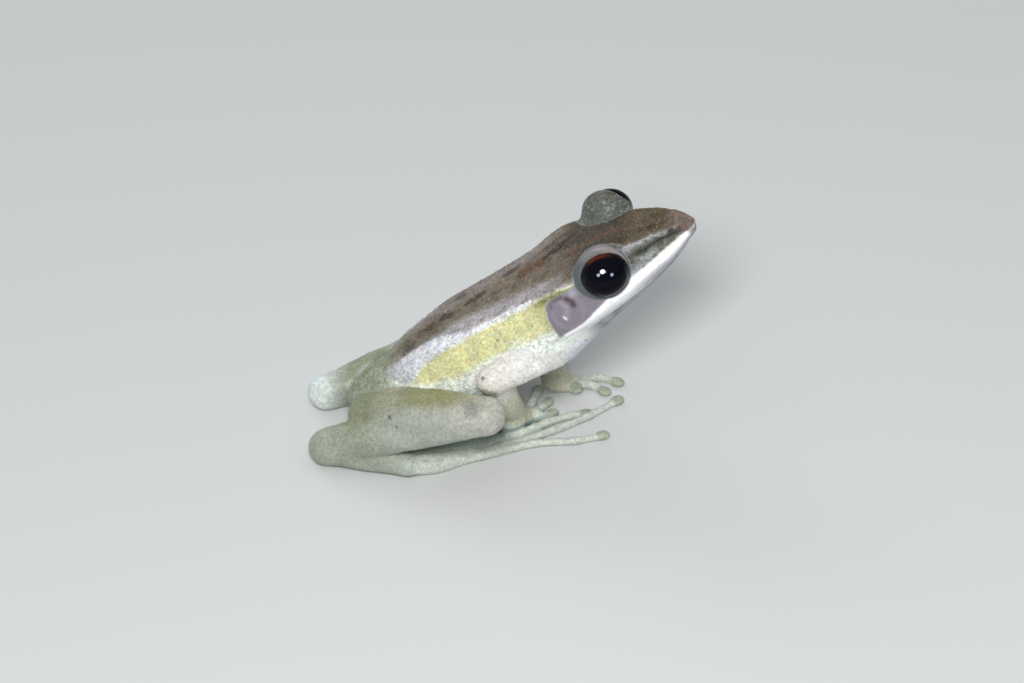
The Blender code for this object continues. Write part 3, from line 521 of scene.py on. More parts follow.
def volume_of(surface):
    """The distance to one closed surface, in a box a little larger than it."""
    points, quads, triangles = surface
    margin = FAR + VOXEL
    made = Volume(points.min(axis=0) - margin, points.max(axis=0) + margin)
    grid = openvdb.FloatGrid.createLevelSetFromPolygons(
        np.ascontiguousarray(points, np.float32), triangles=np.ascontiguousarray(triangles, np.uint32),
        quads=np.ascontiguousarray(quads, np.uint32), transform=TRANSFORM, halfWidth=float(BAND_VOXELS))
    grid.copyToArray(made.values, ijk=tuple(int(v) for v in made.start))
    return made


def near_joint(joint, soft, hard, start, end):
    """Fillet size that falls from soft at a joint to hard away from it."""
    def at(x, y, z):
        far = np.sqrt((x - joint[0]) ** 2 + (y - joint[1]) ** 2 + (z - joint[2]) ** 2)
        return soft + (hard - soft) * ramp(start, end, far)
    return at


def ellipsoid_distance(x, y, z, centre, radii, turn=0.0):
    """Distance to an ellipsoid, turned about the vertical."""
    dx, dy, dz = x - centre[0], y - centre[1], z - centre[2]
    dx, dy = dx * math.cos(turn) + dy * math.sin(turn), dy * math.cos(turn) - dx * math.sin(turn)
    scaled = np.sqrt((dx / radii[0]) ** 2 + (dy / radii[1]) ** 2 + (dz / radii[2]) ** 2)
    slope = np.sqrt((dx / radii[0] ** 2) ** 2 + (dy / radii[1] ** 2) ** 2 + (dz / radii[2] ** 2) ** 2)
    return scaled * (scaled - 1) / np.maximum(slope, 1e-6)


def add_ellipsoid(volume, centre, radii, softness, turn=0.0):
    reach = max(radii) + 1.0
    slices, (x, y, z) = volume.window(np.array(centre) - reach, np.array(centre) + reach)
    distance = ellipsoid_distance(x, y, z, centre, radii, turn)
    volume.values[slices] = smooth_min(volume.values[slices], distance, softness)


def limb(points, radii, flatten=1.0, step=0.5):
    places, sizes = smooth_line(points, radii, step)
    return volume_of(tube(places, sizes, 32, flatten))


def add_digit(volume, path, base, tip):
    """One toe or finger: slender, thicker at its joints, with a cushion under each and a disc."""
    points = [np.array((x, y, 0.0)) for x, y in path]
    places, along = smooth_line(points, np.arange(len(points), dtype=float), 0.2)
    along /= along[-1]
    radii = base + (tip - base) * along
    for joint in points[1:-1]:
        radii = radii + 0.07 * bell(length(places - joint), 0.55)
    places[:, 2] = radii * 0.92
    volume.join(volume_of(tube(places, radii, 16, 0.95)), 0.35)
    heading = points[-1] - points[-2]
    turn = math.atan2(heading[1], heading[0])
    add_ellipsoid(volume, points[-1] + (0, 0, DISC_RADII[2]), DISC_RADII, 0.3, turn)
    for joint in points[1:-1]:
        add_ellipsoid(volume, joint + (0, 0, 0.2), (0.42, 0.36, 0.22), 0.2, turn)


def joints_of(side, *names):
    return [np.array(LIMBS[side][name]) for name in names]


def bone(start, end, radii):
    """A long limb part whose inner radii lie at fixed shares of its length."""
    return limb((start, start + (end - start) * 0.35, start + (end - start) * 0.75, end), radii)


def box_over(paths, joints, below, above, top):
    """An empty volume over the floor that has room round some paths and joints."""
    corners = np.array([p for path in paths for p in path] + [joint[:2] for joint in joints])
    return Volume((*(corners.min(axis=0) - below), -1.0), (*(corners.max(axis=0) + above), top))


def leg_volumes(side):
    """Thigh, shank, tarsus and foot as one volume, creased where they only press together."""
    hip, middle, knee, heel, instep = joints_of(side, "hip", "thigh", "knee", "heel", "instep")
    shank = bone(knee, heel, SHANK_RADII)
    leg = box_over(TOES[side], (hip, knee, heel), (3.6, 3.9), (2.2, 3.9), 13.0)
    leg.join(limb((hip, middle, knee), THIGH_RADII), HARD)
    leg.join(shank, near_joint(knee, 0.9, 0.5, 2.0, 5.0))
    leg.join(limb((heel, (heel + instep) / 2, instep), TARSUS_RADII), near_joint(heel, 0.8, 0.25, 1.5, 4.0))
    fold = limb(FOOT_EDGE[side], FOOT_EDGE_RADII)
    foot, toes = foot_volumes(side, instep)
    foot.join(fold, 0.3)
    leg.join(foot, near_joint(instep, 0.6, 0.12, 2.0, 5.0))
    return {"leg": leg, "shank": shank, "foot": foot, "toes": toes, "fold": fold}


def foot_volumes(side, instep):
    """The foot with its webs, and the same without them."""
    toes = TOES[side]
    foot = box_over(toes, [instep], 2.6, 2.6, 4.2)
    root, ahead = (np.array((*(np.array(toes[2][i]) + toes[3][i]) / 2, height))
                   for i, height in enumerate((SOLE_HEIGHT, SOLE_HEIGHT - 0.1)))
    foot.join(limb((instep, root, root + (ahead - root) * 0.55), (TARSUS_RADII[-1], 1.35, 0.7), 0.8), HARD)
    for path in toes:
        add_digit(foot, path, *DIGIT_RADII)
    bare = copy.copy(foot)
    bare.values = foot.values.copy()
    for inner, outer, reach in zip(toes, toes[1:], WEB_REACH[side]):
        foot.join(volume_of(web_plate(inner, outer, reach)), 0.16)
    return foot, bare


def arm_volumes(side):
    """Upper arm, forearm and hand as one volume, and the hand alone."""
    shoulder, elbow, wrist = joints = joints_of(side, "shoulder", "elbow", "wrist")
    arm, hand = (box_over(FINGERS[side], joints, 3.4, 3.4, top) for top in (16.5, 4.0))
    arm.join(limb((shoulder, (shoulder + elbow) / 2, elbow), UPPER_ARM_RADII), HARD)
    arm.join(bone(elbow, wrist, FOREARM_RADII), 0.5)
    palm = np.array((*PALMS[side], SOLE_HEIGHT))
    hand.join(limb((wrist, palm, palm + (0.7, 0, 0)), (FOREARM_RADII[-1], 1.3, 0.95), 0.7, 0.4), HARD)
    for path in FINGERS[side]:
        add_digit(hand, path, *DIGIT_RADII)
    add_ellipsoid(hand, *HAND_HEEL[side], 0.5)
    arm.join(hand, 0.9)
    return {"arm": arm, "hand": hand}


def eye_frame(side):
    """The eye's centre in the world and the forward, upward and outward axes it is measured on."""
    centre = from_body(*EYE_CENTRES[side])
    origin = from_body(0, 0, 0)
    ahead, outward, upward = (from_body(*v) - origin for v in ((1, 0, 0), (0, side, 0), (0, 0, 1)))
    return centre, ahead, upward, outward


def eye_view(side, x, y, z):
    """Places seen from an eye: ahead, up, off the eyeball, out through the lids, and the angle round it."""
    centre, *axes = eye_frame(side)
    dx, dy, dz = x - centre[0], y - centre[1], z - centre[2]
    a, c, b = (dx * v[0] + dy * v[1] + dz * v[2] for v in axes)
    ball = ellipsoid_distance(a, b, c, (0, 0, 0), EYE_RADII)
    facing = unit(LID_FACING)
    return a, c, ball, a * facing[0] + b * facing[1] + c * facing[2], np.arctan2(c, a)


def shape_lids(skin, side):
    """Raise fleshy lids round the eyeball and hollow out the place of the eye."""
    centre = from_body(*EYE_CENTRES[side])
    slices, places = skin.window(centre - LID_REACH, centre + LID_REACH)
    _, _, ball, depth, around = eye_view(side, *places)
    up, rear = np.sin(around), -np.cos(around)
    thickness = (LID_THICKNESS[side] + 0.1 * ramp(-0.3, 0.8, up) + LID_FRONT[side] * bell(around - 1.0, 0.6)
                 + LID_ROLL[side] * ramp(-0.4, 1.0, 0.6 * rear + 0.7 * up))
    edge, rise = LID_EDGE[side]
    rim = edge + rise * ramp(-0.1, 0.9, up + LID_REAR[side] * rear)
    lids = smooth_max(ball - thickness, depth - rim, 0.35)
    values = smooth_min(skin.values[slices], lids, stepped(rear, 0.3, (0.4, -0.3, 0.5)))
    skin.values[slices] = smooth_max(values, -(ball + EYE_GAP), 0.06)


def shape_skin():
    """The whole skin as distances, and the volumes of the parts that are coloured on their own."""
    skin = Volume(GRID_LOW, GRID_HIGH)
    parts = {"body": volume_of(body_surface())}
    skin.join(parts["body"], HARD)
    for side in (RIGHT, LEFT):
        shape_lids(skin, side)
    for side, name in SIDE_NAMES.items():
        hip, shoulder = joints_of(side, "hip", "shoulder")
        pieces = {**arm_volumes(side), **leg_volumes(side)}
        skin.join(pieces["arm"], near_joint(shoulder, *SHOULDER_FILLET))
        skin.join(pieces["leg"], near_joint(hip, *HIP_FILLET))
        parts.update({key + "_" + name: piece for key, piece in pieces.items()})
    add_relief(skin)
    _, _, height = voxel_places(skin.start, skin.start + skin.values.shape)
    skin.values = smooth_max(skin.values, 0.02 - height, 0.08).astype(np.float32)
    return skin, parts


def add_relief(skin):
    """Raise folds, lips and glands and sink the mouth, nostrils and ear, close to the surface."""
    near = np.nonzero(np.abs(skin.values) < RELIEF_REACH)
    points = np.stack([(skin.start[i] + near[i]) * VOXEL for i in range(3)], axis=1)
    s, y, z = to_body(*points.T)
    skin.values[near] -= body_relief(s, y, z, points).astype(np.float32)


def mouth_height(s):
    return LIP[1](s) - MOUTH_DROP(s)


def body_relief(s, y, z, points):
    """Height of the skin's detail over the plain form."""
    out, open_z = opened(s, np.abs(y), z)
    fold_out, fold_z, lip_z = FOLD[0](s), FOLD[1](s), LIP[1](s)
    from_fold = np.hypot(out - fold_out, open_z - fold_z)
    under_fold = np.hypot(out - fold_out - 0.35, open_z - fold_z + 1.0)
    mouth = open_z - mouth_height(s)
    rise = RELIEF
    height = rise["fold"] * bell(from_fold, 0.62) * within(s, 4, 9, 29, 31)
    height -= rise["groove"] * bell(under_fold, 0.6) * within(s, 6, 10, 25, 28)
    height += rise["canthus"] * bell(from_fold, 0.55) * within(s, 35.2, 36.4, 41.5, 43)
    height -= (rise["snout_hollow"] * bell(open_z - (fold_z + lip_z) / 2 + 0.1, 0.75)
               * within(s, 35.6, 37.4, 40.6, 42.2) * ramp(0.8, 1.6, out))
    height += (rise["lip"] * bell(open_z - lip_z + 0.05, 0.55) * ramp(24.6, 26.6, s)
               * stepped(s, 1, (-0.8, 41.2, 42.6)))
    height += rise["snout_tip"] * bell(np.hypot(s - 42.5, z + 0.3), 0.8) * bell(y, 1.6)
    height += rise["snout_top"] * bell(np.hypot(s - 41.7, z - 1.2), 1.3) * bell(y, 1.8)
    cut = rise["mouth"] * bell(mouth, 0.16) + rise["under_mouth"] * within(mouth, -2.2, -0.9, -0.5, 0.0)
    height -= cut * ramp(MOUTH_CORNER - 0.5, MOUTH_CORNER + 0.5, s)
    place = np.stack((s, y, z), axis=1)
    for side in (RIGHT, LEFT):
        drum, depth = drum_place(place, side)
        height += ramp(1.6, 0.9, depth) * (
            rise["drum_ring"] * bell(drum - DRUM_RADIUS - 0.05, 0.28) + rise["drum_middle"] * bell(drum, 0.6)
            - rise["drum"] * ramp(DRUM_RADIUS, DRUM_RADIUS - 0.5, drum))
        hole = scaled_radius(place, NOSTRIL, NOSTRIL_RADII, side)
        height += rise["nostril_ring"] * bell(hole - 0.4, 0.2) - rise["nostril"] * ramp(0.3, 0.08, hole)
        height += rise["gland"] * ramp(1.15, 0.35, scaled_radius(place, GLAND_CENTRE, GLAND_RADII, side))
    height *= ramp(0.6, 0.2, distance_from_body(s, np.abs(y), z))
    return height + rise["coarse"] * noise(points, 1.3, 1) + rise["fine"] * noise(points, 0.6, 2)


def distance_from_body(s, out, z):
    """A rough distance from the trunk, to keep its detail off the limbs."""
    side = np.maximum(np.maximum(SIDE[0](s), LIP[0](s)), FOLD[0](s))
    over = np.maximum(out - side - 0.6, 0)
    return np.maximum(over, np.maximum(z - BACK[1](s) - 3.0, 0))


def drum_place(place, side):
    """How far places are from the axis of an ear drum, and how deep along it."""
    facing = unit(mirrored(DRUM_FACING, side))
    offset = place - mirrored(DRUM_CENTRE, side)
    depth = offset @ facing
    return length(offset - depth[:, None] * facing), np.abs(depth)


def scaled_radius(place, centre, radii, side):
    return length((place - mirrored(centre, side)) / radii)


# From the voxels to the skin's mesh

def surface_mesh(skin):
    """Vertices and quads of the surface, evened out, in millimetres."""
    grid = openvdb.FloatGrid(FAR)
    grid.transform = TRANSFORM
    grid.copyFromArray(np.clip(skin.values, -FAR, FAR), ijk=tuple(int(v) for v in skin.start), tolerance=1e-6)
    points, quads = grid.convertToQuads(isovalue=0.0)
    points, quads = points.astype(float), quads.astype(np.int64)
    points = even_out(points, quads, 3)
    a, b, c, d = (points[quads[:, i]] for i in range(4))
    if np.sum(a * np.cross(b, c)) + np.sum(a * np.cross(c, d)) < 0:
        quads = quads[:, ::-1]
    return points, quads


def even_out(points, quads, rounds):
    """Smooth a mesh without shrinking it."""
    ends = np.vstack([quads[:, (i, (i + 1) % 4)] for i in range(4)])
    count = np.bincount(ends[:, 0], minlength=len(points)) + np.bincount(ends[:, 1], minlength=len(points))
    count = np.maximum(count, 1)
    for _ in range(rounds):
        for amount in (0.5, -0.52):
            mean = np.empty_like(points)
            for axis in range(3):
                mean[:, axis] = (np.bincount(ends[:, 0], points[ends[:, 1], axis], len(points))
                                 + np.bincount(ends[:, 1], points[ends[:, 0], axis], len(points))) / count
            points = points + amount * (mean - points)
    return points


def vertex_normals(points, faces):
    normals = np.zeros_like(points)
    face = np.cross(points[faces[:, 2]] - points[faces[:, 0]], points[faces[:, 3]] - points[faces[:, 1]])
    for axis in range(3):
        for corner in range(4):
            normals[:, axis] += np.bincount(faces[:, corner], face[:, axis], len(points))
    return normals / np.maximum(length(normals)[:, None], 1e-12)


# Where the solid model's middle put the design's origin
eye_low, eye_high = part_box("eye_right")
SHIFT = (np.array(eye_low) + np.array(eye_high)) / 2 / MM - from_body(*EYE_CENTRES[RIGHT])


def to_metres(points):
    return (points + SHIFT) * MM


def add_object(name, data):
    made = bpy.data.objects.new(name, data)
    bpy.context.scene.collection.objects.link(made)
    return made


def make_mesh(name, points, quads, triangles, masks):
    """An object from points in millimetres, faces, and a value for every vertex and mask."""
    mesh = bpy.data.meshes.new(name)
    loops = np.concatenate((quads.ravel(), triangles.ravel())).astype(np.int32)
    starts = np.concatenate((np.arange(len(quads)) * 4, len(quads) * 4 + np.arange(len(triangles)) * 3))
    mesh.vertices.add(len(points))
    mesh.vertices.foreach_set("co", to_metres(points).astype(np.float32).ravel())
    mesh.loops.add(len(loops))
    mesh.loops.foreach_set("vertex_index", loops)
    mesh.polygons.add(len(starts))
    mesh.polygons.foreach_set("loop_start", starts.astype(np.int32))
    mesh.update(calc_edges=True)
    mesh.validate()
    mesh.shade_smooth()
    for mask, values in masks.items():
        layer = mesh.attributes.new(mask, "FLOAT", "POINT")
        layer.data.foreach_set("value", np.ascontiguousarray(values, np.float32))
    return add_object(name, mesh)


# Where the skin's colours lie

def opened(s, out, z):
    """Section coordinates with the rounding of the snout taken out, so that its lines reach the tip."""
    t = np.clip((BODY_LENGTH - s) / SNOUT_ROUNDING, 0.02, 1)
    closing = np.maximum(np.sqrt(1 - (1 - t) ** 2), 0.35)
    return out / closing, SNOUT_HEIGHT + (z - SNOUT_HEIGHT) / closing


def edge_distance(s, out, z):
    """Distance along the skin from the back's edge line, below 0 towards the middle of the back."""
    fold = FOLD[0](s), FOLD[1](s)
    across = np.hypot(out - fold[0], z - fold[1])
    return np.where(out - fold[0] > z - fold[1], across, -across)


def line_distance(points, line):
    """Distance from points of a plane or of the world to a line through a few points."""
    best = np.full(len(points), 99.0)
    for start, end in zip(line, line[1:]):
        start, along = np.array(start, float), np.subtract(end, start)
        t = np.clip((points - start) @ along / (along @ along), 0, 1)
        best = np.minimum(best, length(points - start - t[:, None] * along))
    return best


def lid_masks(points, ragged):
    """Colours round both eyes: the smooth pale rim, the granular top, and painted shade in the crease behind
    it.
    """
    rim, pale, top, brow_shade = np.zeros((4, len(points)))
    for side in (RIGHT, LEFT):
        a, c, ball, depth, around = eye_view(side, *points.T)
        ahead, up = a / EYE_RADII[0], c / EYE_RADII[2]
        front = LID_FRONT[side] * bell(around - 0.85, 0.6)
        turned = 0.7 * np.sin(around) - 0.6 * np.cos(around)
        reach = 0.28 + 1.9 * front + LID_ROLL[side] * ramp(-0.4, 1.0, turned)
        edge = LID_TOP_EDGE[side] - 2.8 * front
        close = ramp(0.14, -0.06, ball - reach)
        rim = np.maximum(rim, close * ramp(edge - 0.35, edge + 0.05, depth - 0.1 * ragged))
        inner = np.maximum(ramp(0.35, 1.0, up + 0.85 * ahead),
                           0.6 * ramp(0.45, 0.1, ball) * ramp(0.2, 0.8, up))
        inner = inner * stepped(ahead, 0.48, (0.52, -0.2, 0.7))
        pale = np.maximum(pale, close * ramp(edge - 0.1, edge + 0.5, depth) * inner)
        on_top = ramp(1.15, 0.75, ball) * ramp(-0.35, 0.1, up)
        top = np.maximum(top, on_top * ramp(edge + 0.1, edge - 0.35, depth))
        if side == RIGHT:
            # Painted shade in the crease between the near eye's lid and the top of the head
            brow_shade = bell(ball - 0.95, 0.3) * ramp(edge - 1.3, edge - 0.6, depth) * ramp(0.5, 0.9, up)
    return {"lid_top": top * (1 - rim), "lid_rim": rim, "lid_pale": pale, "brow_shade": brow_shade * (1 - rim)}


class Places:
    """What the masks are worked out from, at every point of the skin."""

    def __init__(self, points, parts):
        self.points, self.parts = points, parts
        self.s, self.y, z = to_body(*points.T)
        self.out, self.z = opened(self.s, np.abs(self.y), z)
        self.ragged = 0.6 * noise(points, 1.1, 11) + 0.4 * noise(points, 0.42, 12)
        self.broad = noise(points, 2.6, 13)
        self.arm, self.leg, body = self.both("arm"), self.both("leg"), parts["body"].at(points)
        self.on_arm = ramp(-0.25, 0.3, body - self.arm + 0.1 * self.ragged) * ramp(0.7, 0.4, self.arm)
        self.on_leg = ramp(-0.2, 0.3, body - self.leg) * ramp(0.7, 0.4, self.leg)
        self.on_body = (1 - self.on_arm) * (1 - self.on_leg)
        self.edge = edge_distance(self.s, self.out, self.z)
        self.above_lip = self.z - LIP[1](self.s)
        self.above_mouth = self.z - mouth_height(self.s)
        self.back_edge = stepped(self.s, *BACK_EDGE) + 1.05 * ramp(0.5, 1.5, self.y)
        self.yellow_top = stepped(self.s, *YELLOW_TOP)
        self.back = ramp(0.3, -0.3, self.edge - self.back_edge + 0.25 * self.ragged)
        self.flank = ramp(0.15, 0.7, self.edge) * ramp(30.5, 28, self.s)
        self.ahead = ramp(-0.2, 0.2, self.s - DRUM_REAR(self.z) + 0.2 * self.ragged)

    def both(self, name):
        """The distance to a part's right or left one, whichever is nearer."""
        return np.minimum(*(self.parts[name + "_" + side].at(self.points) for side in SIDE_NAMES.values()))

    def near(self, joint):
        return np.minimum(*(length(self.points - limbs[joint]) for limbs in LIMBS.values()))


def back_masks(p):
    """Brown and mauve back, dark neck and crown, and the back's marks."""
    crown = ramp(28.0, 31.5, p.s + 0.6 * p.ragged) * ramp(0.1, -0.7, p.edge)
    midline = ramp(0.05, 0.5, noise(p.points, 0.75, 17) + 0.4 * noise(p.points, 0.35, 18))
    marks = {False: 0.4 * midline * ramp(-1.5, -2.4, p.edge) * ramp(5, 9, p.s), True: 0.0}
    plan = np.stack((p.s, p.y), axis=1)
    for line, width, strength, rusty in MARKS:
        apart = line_distance(plan, line) / (1.25 * width) + 0.9 * p.ragged
        marks[rusty] = np.maximum(marks[rusty], strength * ramp(1.5, 0.3, apart))
    masks = {
        "back": 1.0,
        "mauve": (ramp(-2.7, -1.1, p.edge + 0.4 * p.broad + 0.3 * p.ragged) * ramp(31, 25, p.s)
                  * 0.85 * stepped(p.y, 1, (-0.6, 0.5, 1.5))),
        "neck": ramp(20, 28, p.s + 0.8 * p.broad - 0.5 * p.y) * ramp(-0.9, -2.2, p.edge),
        "crown": crown, "snout": crown * ramp(35.5, 38.0, p.s + 0.4 * p.ragged),
        "marks": marks[False], "rust": marks[True],
    }
    return {name: mask * p.back for name, mask in masks.items()}


def flank_masks(p):
    """The white band, the yellow patch with its olive front, and the pale flank below it."""
    tongue = ramp(30.9, 30.2, p.s) * ramp(0.12, -0.12, p.edge - 1.03 + 0.12 * p.ragged)
    yellow = (ramp(-0.18, 0.22, p.edge - p.yellow_top + 0.14 * p.ragged) * np.maximum(1 - p.ahead, tongue)
              * ramp(-0.6, 0.8, p.z - YELLOW_FOOT(p.s) + 0.4 * p.ragged)
              * ramp(5.5, 9.0, p.s + 0.8 * p.broad))
    from_middle = np.abs(p.edge - (p.back_edge + p.yellow_top) / 2) - (p.yellow_top - p.back_edge) / 2
    band = ramp(0.25, -0.25, from_middle + 0.1 * ramp(11, 17, p.s) + 0.25 * p.ragged)
    return {
        "flank_low": p.flank * ramp(-4.6, -2.0, p.z - 0.3 * p.broad), "yellow": yellow,
        "tongue": yellow * ramp(23.5, 25.8, p.s) * np.maximum(ramp(1.2, 0.2, p.edge - p.yellow_top), 0.45),
        "band": (band * ramp(4.5, 9.5, p.s) * ramp(26.3, 22.5, p.s + 0.4 * p.ragged)
                 * stepped(p.s, 0.95, (-0.34, 10, 18)) * (0.88 + 0.2 * p.broad)),
    }


def cheek_masks(p):
    """The cheek with a pale patch under the eye and a painted highlight over the drum, and the ear drum with
    a painted glint.
    """
    place = np.stack((p.s, p.out, p.z), axis=1)
    side_view = place[:, ::2]
    radius, depth = drum_place(place, LEFT)
    radius = radius + 0.3 * depth
    in_drum = ramp(2.3, 1.7, radius)
    arcs = [strength * bell(line_distance(side_view, line) + 0.15 * p.ragged, width)
            for line, width, strength in DRUM_ARCS]
    under_eye = within(p.s, 31.0, 33.5, 36.0, 38.5) * ramp(1.9, 1.0, p.above_lip) * (0.75 + 0.25 * p.ragged)
    # A painted highlight on the cheek, above and ahead of the ear drum
    cheek_highlight = 0.8 * bell(np.hypot(p.s - 29.3, p.z - 2.9), 0.5)
    gland = scaled_radius(place, GLAND_CENTRE, GLAND_RADII, LEFT)
    drum_glint = line_distance(side_view, DRUM_GLINT)
    return {
        "cheek": p.ahead * ramp(0.85, 1.1, p.edge) * ramp(-0.1, 0.25, p.above_lip) * ramp(35.0, 33.5, p.s),
        "cheek_pale_and_highlight": np.maximum(under_eye, cheek_highlight) * ramp(0.4, 0.9, p.edge),
        "drum_ring": 0.3 * bell(radius - DRUM_RADIUS, 0.2), "drum_dark": np.maximum(*arcs) * in_drum,
        "drum_light": 0.7 * bell(line_distance(side_view, DRUM_LIGHT), 0.34) * in_drum,
        # White: the gland behind the corner of the mouth, and a painted glint on the ear drum
        "white": np.maximum(ramp(1.0, 0.7, gland), 0.75 * ramp(0.22, 0.0, drum_glint)),
    }


def snout_masks(p):
    """The side of the snout with its ridge, painted shade in the groove below it and in the nostril, and the
    snout's tip.
    """
    front, tip = ramp(34.5, 36.2, p.s), ramp(41.6, 42.6, p.s)
    end = ramp(40.2, 41.8, p.s + 0.4 * p.ragged)
    hole = scaled_radius(np.stack((p.s, np.abs(p.y), p.z), axis=1), NOSTRIL, NOSTRIL_SHADE, LEFT)
    return {
        "snout_end": end * ramp(0.3 - 0.9 * tip, 1.1 - 1.4 * tip, p.above_lip),
        "loreal": (ramp(33.4, 35.0, p.s + 0.3 * p.ragged) * ramp(0.35, 0.6, p.above_lip)
                   * ramp(0.0, 0.4, p.edge)),
        "loreal_light": (0.6 * front * ramp(-0.1, 0.3, p.edge) * ramp(0.2, 0.5, p.above_lip)
                         * ramp(0.0, 0.5, noise(p.points, 0.55, 14))),
        "canthus": (front * bell(p.edge - 0.25, 0.36) * ramp(42.2, 41.2, p.s)
                    * ramp(-0.6, 0.5, noise(p.points, 0.45, 16))),
        # Painted shade in the groove below the canthus ridge
        "canthus_groove_shade": (bell(p.edge - CANTHUS_GROOVE_EDGE(p.s) + 0.05 * p.ragged, 0.3)
                   * within(p.s, 35.4, 37.4, 41.3, 42.3)),
        # Painted shade in the nostril's pit
        "nostril": 0.85 * ramp(0.42, 0.15, hole),
    }


def mouth_masks(p):
    """The white lip, cream ahead and painted shade below where it curves under, painted shade along the line
    of the mouth, and the jaw.
    """
    jaw = ramp(26.5, 30.5, p.s) * ramp(0.1, -0.15, p.above_mouth)
    lip = (ramp(25.9, 26.3, p.s + 0.2 * p.ragged) * stepped(p.s, 1, (-0.7, 41.7, 42.5))
           * ramp(0.12, -0.12, p.above_lip - LIP_TOP(p.s) - 0.1 * p.ragged)
           * ramp(-0.12, 0.08, p.above_mouth + 0.16 + 0.05 * p.ragged))
    return {
        "jaw": 0.9 * jaw,
        "jaw_light": 0.7 * jaw * ramp(-0.1, 0.6, noise(p.points, 1.2, 15)) * ramp(34, 29, p.s),
        "lip": lip, "lip_cream": 0.6 * lip * ramp(37.5, 40.5, p.s) * ramp(0.1, 0.5, p.above_lip),
        # Painted shade on the lower part of the lip, where it curves under
        "lip_under_shade": 0.9 * lip * ramp(33.5, 37.5, p.s) * ramp(0.4, -0.15, p.above_lip + 0.1 * p.ragged),
        # Painted shade along the line of the mouth
        "mouth": 0.5 * bell(p.above_mouth + 0.1, 0.12) * ramp(26.5, 28, p.s),
    }


def limb_masks(p, fold):
    """Arms and legs, with the rump that runs into the thighs."""
    x, y, height = p.points.T
    heel = 0.6 * ramp(9.5, 2.5, p.near("heel")) * (p.y < 0)
    root = p.on_leg * np.maximum(ramp(8.0, 3.5, p.near("hip") + p.broad), heel)
    rump = 0.92 * ramp(10.0, 4.5, p.s + 1.2 * p.broad + 0.5 * p.ragged) * (1 - p.on_arm)
    foot = p.both("foot")
    above_foot = ramp(0.1, 0.5, foot - p.leg)
    left = ramp(0.0, 2.0, y)
    strip = ramp(1.0, -0.9, np.abs(p.y) - THIGH_EDGE(x) - 0.6 + 0.5 * p.ragged)
    on_foot = p.on_leg * ramp(0.25, 0.0, foot - p.leg)
    tips = [length(p.points - (*path[-1], DISC_RADII[2]))
            for paths in (*TOES.values(), *FINGERS.values()) for path in paths]
    return {
        "rump": np.maximum(rump, root), "arm": p.on_arm,
        "forearm": p.on_arm * ramp(11.5, 5.5, height + 0.5 * p.broad),
        "elbow": 0.7 * p.on_arm * bell(p.near("elbow"), 2.0), "leg": p.on_leg * (1 - root),
        # Painted light: the far leg is painted paler to make up for the light it lacks
        "far_leg_painted_light": p.on_leg * (1 - root) * left * above_foot,
        "thigh": (p.on_leg * strip * above_foot * within(x + p.ragged, 2.5, 13.0, 18.0, 21.0)
                  * (1 - 0.5 * left)),
        "knee": 0.85 * p.on_leg * bell(p.near("knee"), 2.8), "foot": on_foot,
        "hand": p.on_arm * ramp(0.3, 0.05, p.both("hand") - p.arm) * ramp(1.2, 2.6, p.near("wrist")),
        "web": on_foot * ramp(0.05, 0.2, p.both("toes")),
        "disc": 0.7 * ramp(0.95, 0.6, np.min(tips, axis=0)),
        "shade": (0.5 * p.on_leg * ramp(0.3, 0.0, fold.at(p.points))
                  * ramp(0.35, 0.0, np.abs(p.both("shank") - foot))),
    }


def dark_speck(p, place, size):
    """A small dark speck with a ragged edge."""
    return ramp(1.2, 0.3, length(p.points - place) / size + 0.5 * p.ragged)


def skin_masks(points, parts):
    """How strongly each colour of the skin shows at every point, from 0 to 1."""
    p = Places(points, parts)
    masks = {**back_masks(p), **flank_masks(p), **cheek_masks(p), **snout_masks(p), **mouth_masks(p)}
    masks = {name: mask * p.on_body for name, mask in masks.items()}
    masks.update(lid_masks(points, p.ragged))
    bare = 1 - np.maximum(masks["lid_rim"], masks["lid_top"])
    masks.update({name: masks[name] * bare for name in UNDER_LIDS})
    masks.update(limb_masks(p, parts["fold_right"]))
    masks["specks"] = 0.7 * np.max([dark_speck(p, (x, y * side, height), size)
                                    for x, y, height, size in SPECKS for side in (RIGHT, LEFT)], axis=0)
    masks["blotch"] = 0.5 * dark_speck(p, *BLOTCH)

    plain = np.clip(sum(masks[name] for name in ("lip", "jaw", "cheek", "lid_rim", "white")), 0, 1)
    limb_skin = np.clip(p.on_arm + p.on_leg, 0, 1)
    throat = ramp(21, 25, p.s) * ramp(0.2, -0.8, p.above_lip) * p.on_body
    masks["granular"] = np.clip((1 - 0.85 * plain) * (1 - 0.5 * limb_skin) * (1 - 0.6 * masks["web"])
                                * (1 - 0.4 * masks["yellow"]) * (1 - 0.6 * throat), 0, 1)
    # Where the grains stand thickest and where painted glints show on them
    sparkle = (0.2 * p.back + 0.9 * p.flank * p.on_body + 0.8 * masks["band"] + 0.3 * masks["lid_top"]
               + 0.35 * limb_skin)
    masks["sparkle"] = np.clip(sparkle, 0, 1) * (1 - 0.95 * plain) * (1 - 0.8 * masks["loreal"])
    return masks


# Fine raised grains that stand on the skin

